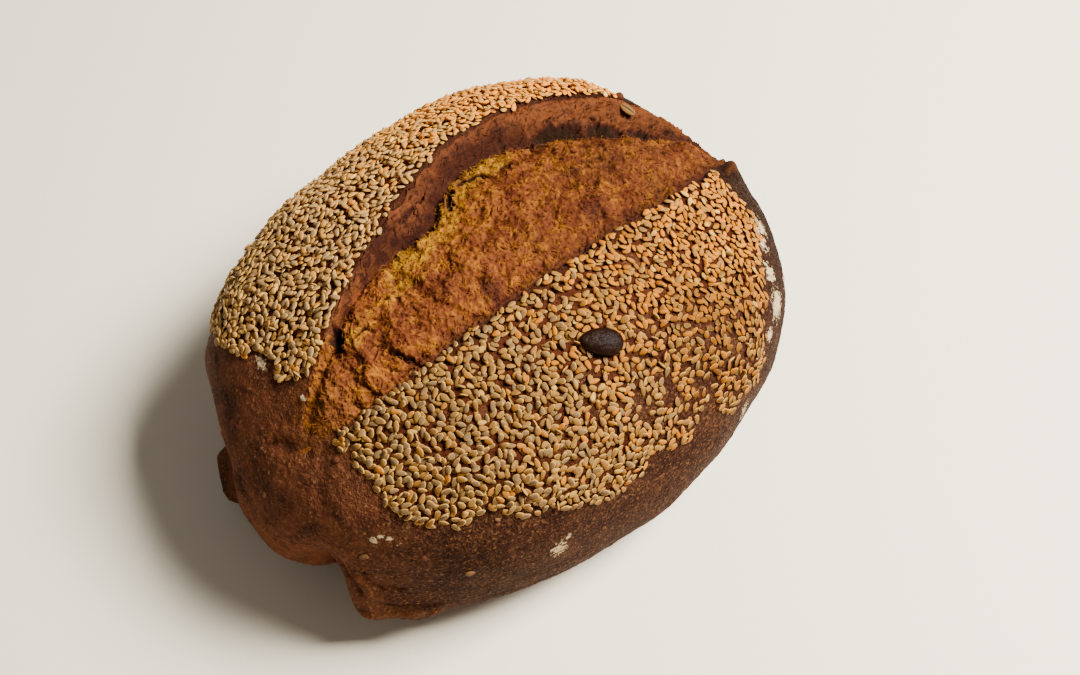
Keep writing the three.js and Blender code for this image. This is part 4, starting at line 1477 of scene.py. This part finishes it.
def lump_shape(seed):
    """A lumpy ball of radius 1: rings of points, each moved out or in by noise."""
    turn = math.pi * np.arange(1, LUMP.stations)[:, None] / LUMP.stations
    side = 2 * math.pi * np.arange(LUMP.sides) / LUMP.sides
    ball = np.stack([np.cos(turn) + 0 * side, np.sin(turn) * np.cos(side),
                     np.sin(turn) * np.sin(side)], -1)
    uneven = LUMP.unevenness * noise(ball + 5.0 * seed, LUMP.cell, 13)
    ball = ball * (1 + uneven)[..., None]
    return np.concatenate([ball.reshape(-1, 3), [[1.0, 0, 0], [-1.0, 0, 0]]])


def side_angles(x, z, side):
    """Angles of the plain body's point at a station and height, on its far or near side."""
    along, _ = angles_at(x, 0 * x)
    rise = (z - BODY.equator) / (BODY.height - BODY.equator)
    rise = np.clip(rise / np.sin(along) ** (2 / BODY.profile_power), -1, 1)
    around = np.arcsin(super_coordinate(rise, 4 / BODY.section_power))
    return along, np.where(side > 0, around, math.pi - around)


def scrap_mesh(material):
    """Scraps of seed and dough baked onto the crust, each a lumpy ball in its own frame."""
    table = np.array(SCRAPS)
    count = len(table)
    along, around = side_angles(table[:, 0], table[:, 1], table[:, 2])
    turn = 2.4 * np.arange(count)
    heading = on_plan(np.cos(turn), np.sin(turn))
    frames = laid_frames(along, around, heading, 0.1 * table[:, 5])
    shapes = np.stack([lump_shape(i) for i in range(count)]) * table[:, None, 3:6]
    points = in_frames(shapes, frames)
    faces = tube_faces(LUMP.stations - 1, LUMP.sides)
    return make_scatter("crust_scraps", points, faces, material, tint=table[:, 6:])


# Colours of the scraps at the ends of their tint, and of their mottling.
SCRAP_COLOURS = Sizes(red=(0.075, 0.018, 0.006), tan=(0.16, 0.075, 0.026),
                      dark=(0.03, 0.012, 0.006))


def scrap_material():
    """Baked scraps: red brown to tan, by a tint for each, mottled darker."""
    material, shader, surface = new_material("Baked scraps", 0.1)
    shader.colour = SCRAP_COLOURS.red
    shader.paint(shader.span(shader.attribute("tint"), 0.15, 0.9), SCRAP_COLOURS.tan)
    mottle = shader.noise(shader.place(), 0.0008, 3.0, 0.6)
    shader.paint(shader.span(mottle, 0.4, 0.7, 0.0, 0.5), SCRAP_COLOURS.dark)
    shader.fill(surface, {"Base Color": shader.colour, "Roughness": 0.7})
    return material


class BREAD_OT_scraps(bpy.types.Operator):
    """Bake a few scraps of seed and dough onto the crust"""

    bl_idname = "bread.scraps"
    bl_label = "Scraps"

    def execute(self, context):
        finish_piece(scrap_mesh(scrap_material()), "crust")
        return {"FINISHED"}


def grain_mesh(material):
    """One flattened grain on the crest: an oval with a crease along its upper side."""
    turn = math.pi * np.arange(1, GRAIN.stations)[:, None] / GRAIN.stations
    side = 2 * math.pi * np.arange(GRAIN.sides) / GRAIN.sides
    x = 0.5 * GRAIN.length * np.cos(turn) + 0 * side
    y = 0.5 * GRAIN.width * np.sin(turn) ** 0.85 * np.cos(side)
    crease = bell(y, 0.08 * np.sin(1.3 * x), 0.28) * np.sin(turn) * (np.sin(side) > 0)
    z = 0.5 * GRAIN.thickness * np.sin(turn) ** 0.7 * np.sin(side) - GRAIN.crease_depth * crease
    rim = np.append(-2.0 * crease.ravel(), [0, 0])
    return lay_oval("crest_grain", GRAIN, (x, y, z), 0.9 * GRAIN.thickness, material, rim=rim,
                    tint=np.full(len(rim), GRAIN.tint), shade=np.full(len(rim), GRAIN.shade))


class BREAD_OT_grain(bpy.types.Operator):
    """Lay the flattened grain on the crest"""

    bl_idname = "bread.grain"
    bl_label = "Grain"

    def execute(self, context):
        material = sesame_material(context.scene.bread_seeds)
        material.name = "Flattened grain"
        finish_piece(grain_mesh(material), "sesame")
        return {"FINISHED"}


# ---------------------------------------------------------------- stage

AIM = Vector((0.0224, 0.0058, 0.0))
CAMERA_RIGHT = Vector((0.7501, -0.6613, 0.0))
# The light's place from the aim, along the camera's axes, and its side, in metres.
KEY_LIGHT = Sizes(right=0.53, ahead=0.06, up=0.78, size=0.36)
LIGHT_COLOUR = (1.0, 0.98, 0.94)
SKY_COLOUR = (1.0, 0.97, 0.93, 1.0)
FLOOR_HALF = 3000.0


class BREAD_OT_stage(bpy.types.Operator):
    """Set out the floor, the soft lights and the camera"""

    bl_idname = "bread.stage"
    bl_label = "Stage"

    def execute(self, context):
        settings = context.scene.bread_stage
        self.floor(settings)
        ahead = Vector((-CAMERA_RIGHT.y, CAMERA_RIGHT.x, 0.0))
        place = AIM + CAMERA_RIGHT * KEY_LIGHT.right + ahead * KEY_LIGHT.ahead
        place = place + Vector((0, 0, KEY_LIGHT.up))
        self.light("key_light", place, KEY_LIGHT.size, settings.key_power)
        self.camera(context.scene, settings, ahead)
        world = bpy.data.worlds.new("Soft room")
        world.use_nodes = True
        background = world.node_tree.nodes["Background"].inputs
        background["Color"].default_value = SKY_COLOUR
        background["Strength"].default_value = settings.sky
        context.scene.world = world
        return {"FINISHED"}

    def floor(self, settings):
        """A wide pale floor under the loaf."""
        material, shader, surface = new_material("Pale floor")
        shader.fill(surface, {"Base Color": rgba(settings.floor), "Roughness": 0.6})
        corners = FLOOR_HALF * np.array([[-1, -1, 0], [1, -1, 0], [1, 1, 0], [-1, 1, 0]])
        make_piece("floor", corners, [np.array([[0, 1, 2, 3]])], material)

    def light(self, name, place, size, power):
        """A square soft light that faces the loaf."""
        lamp = bpy.data.lights.new(name, "AREA")
        lamp.size = size
        lamp.energy = power
        lamp.color = LIGHT_COLOUR
        light = bpy.data.objects.new(name, lamp)
        light.location = place
        light.rotation_euler = (AIM - place).to_track_quat("-Z", "Y").to_euler()
        bpy.context.scene.collection.objects.link(light)

    def camera(self, scene, settings, ahead):
        """The camera, level across the picture, that looks down on the loaf."""
        lens = bpy.data.cameras.new("camera")
        lens.lens = settings.focal_length
        lens.sensor_width = 36.0
        lens.sensor_fit = "HORIZONTAL"
        lens.clip_start = 0.01
        camera = bpy.data.objects.new("camera", lens)
        back = -ahead * math.cos(settings.elevation) + Vector((0, 0, math.sin(settings.elevation)))
        camera.location = AIM + back * settings.distance
        camera.rotation_euler = back.to_track_quat("Z", "Y").to_euler()
        scene.collection.objects.link(camera)
        scene.camera = camera


# ---------------------------------------------------------------- panel and registration


class BREAD_PT_panel(bpy.types.Panel):
    """Sidebar panel that lists the loaf's pieces and their settings"""

    bl_idname = "BREAD_PT_panel"
    bl_label = "Chickpea bread"
    bl_space_type = "VIEW_3D"
    bl_region_type = "UI"
    bl_category = "Bread"

    def draw(self, context):
        for operator, settings in PIECES:
            column = self.layout.column()
            column.operator(operator)
            for key in SETTINGS[settings].__annotations__:
                column.prop(getattr(context.scene, settings), key)


SETTINGS = {
    "bread_crust": CrustSettings,
    "bread_crumb": CrumbSettings,
    "bread_seeds": SeedSettings,
    "bread_stage": StageSettings,
}
PIECES = (
    ("bread.crust", "bread_crust"),
    ("bread.crumb", "bread_crumb"),
    ("bread.sesame", "bread_seeds"),
    ("bread.pumpkin_seed", "bread_seeds"),
    ("bread.grain", "bread_seeds"),
    ("bread.scraps", "bread_crust"),
    ("bread.stage", "bread_stage"),
)
CLASSES = (*SETTINGS.values(), BREAD_OT_crust, BREAD_OT_crumb, BREAD_OT_sesame,
           BREAD_OT_pumpkin_seed, BREAD_OT_grain, BREAD_OT_scraps, BREAD_OT_stage, BREAD_PT_panel)


def register():
    for cls in CLASSES:
        bpy.utils.register_class(cls)
    for key, cls in SETTINGS.items():
        setattr(bpy.types.Scene, key, PointerProperty(type=cls))


def unregister():
    for key in SETTINGS:
        delattr(bpy.types.Scene, key)
    for cls in reversed(CLASSES):
        bpy.utils.unregister_class(cls)


def main():
    """Builds every piece in order."""
    register()
    for operator, _ in PIECES:
        area, name = operator.split(".")
        getattr(getattr(bpy.ops, area), name)()


if __name__ == "__main__":
    main()
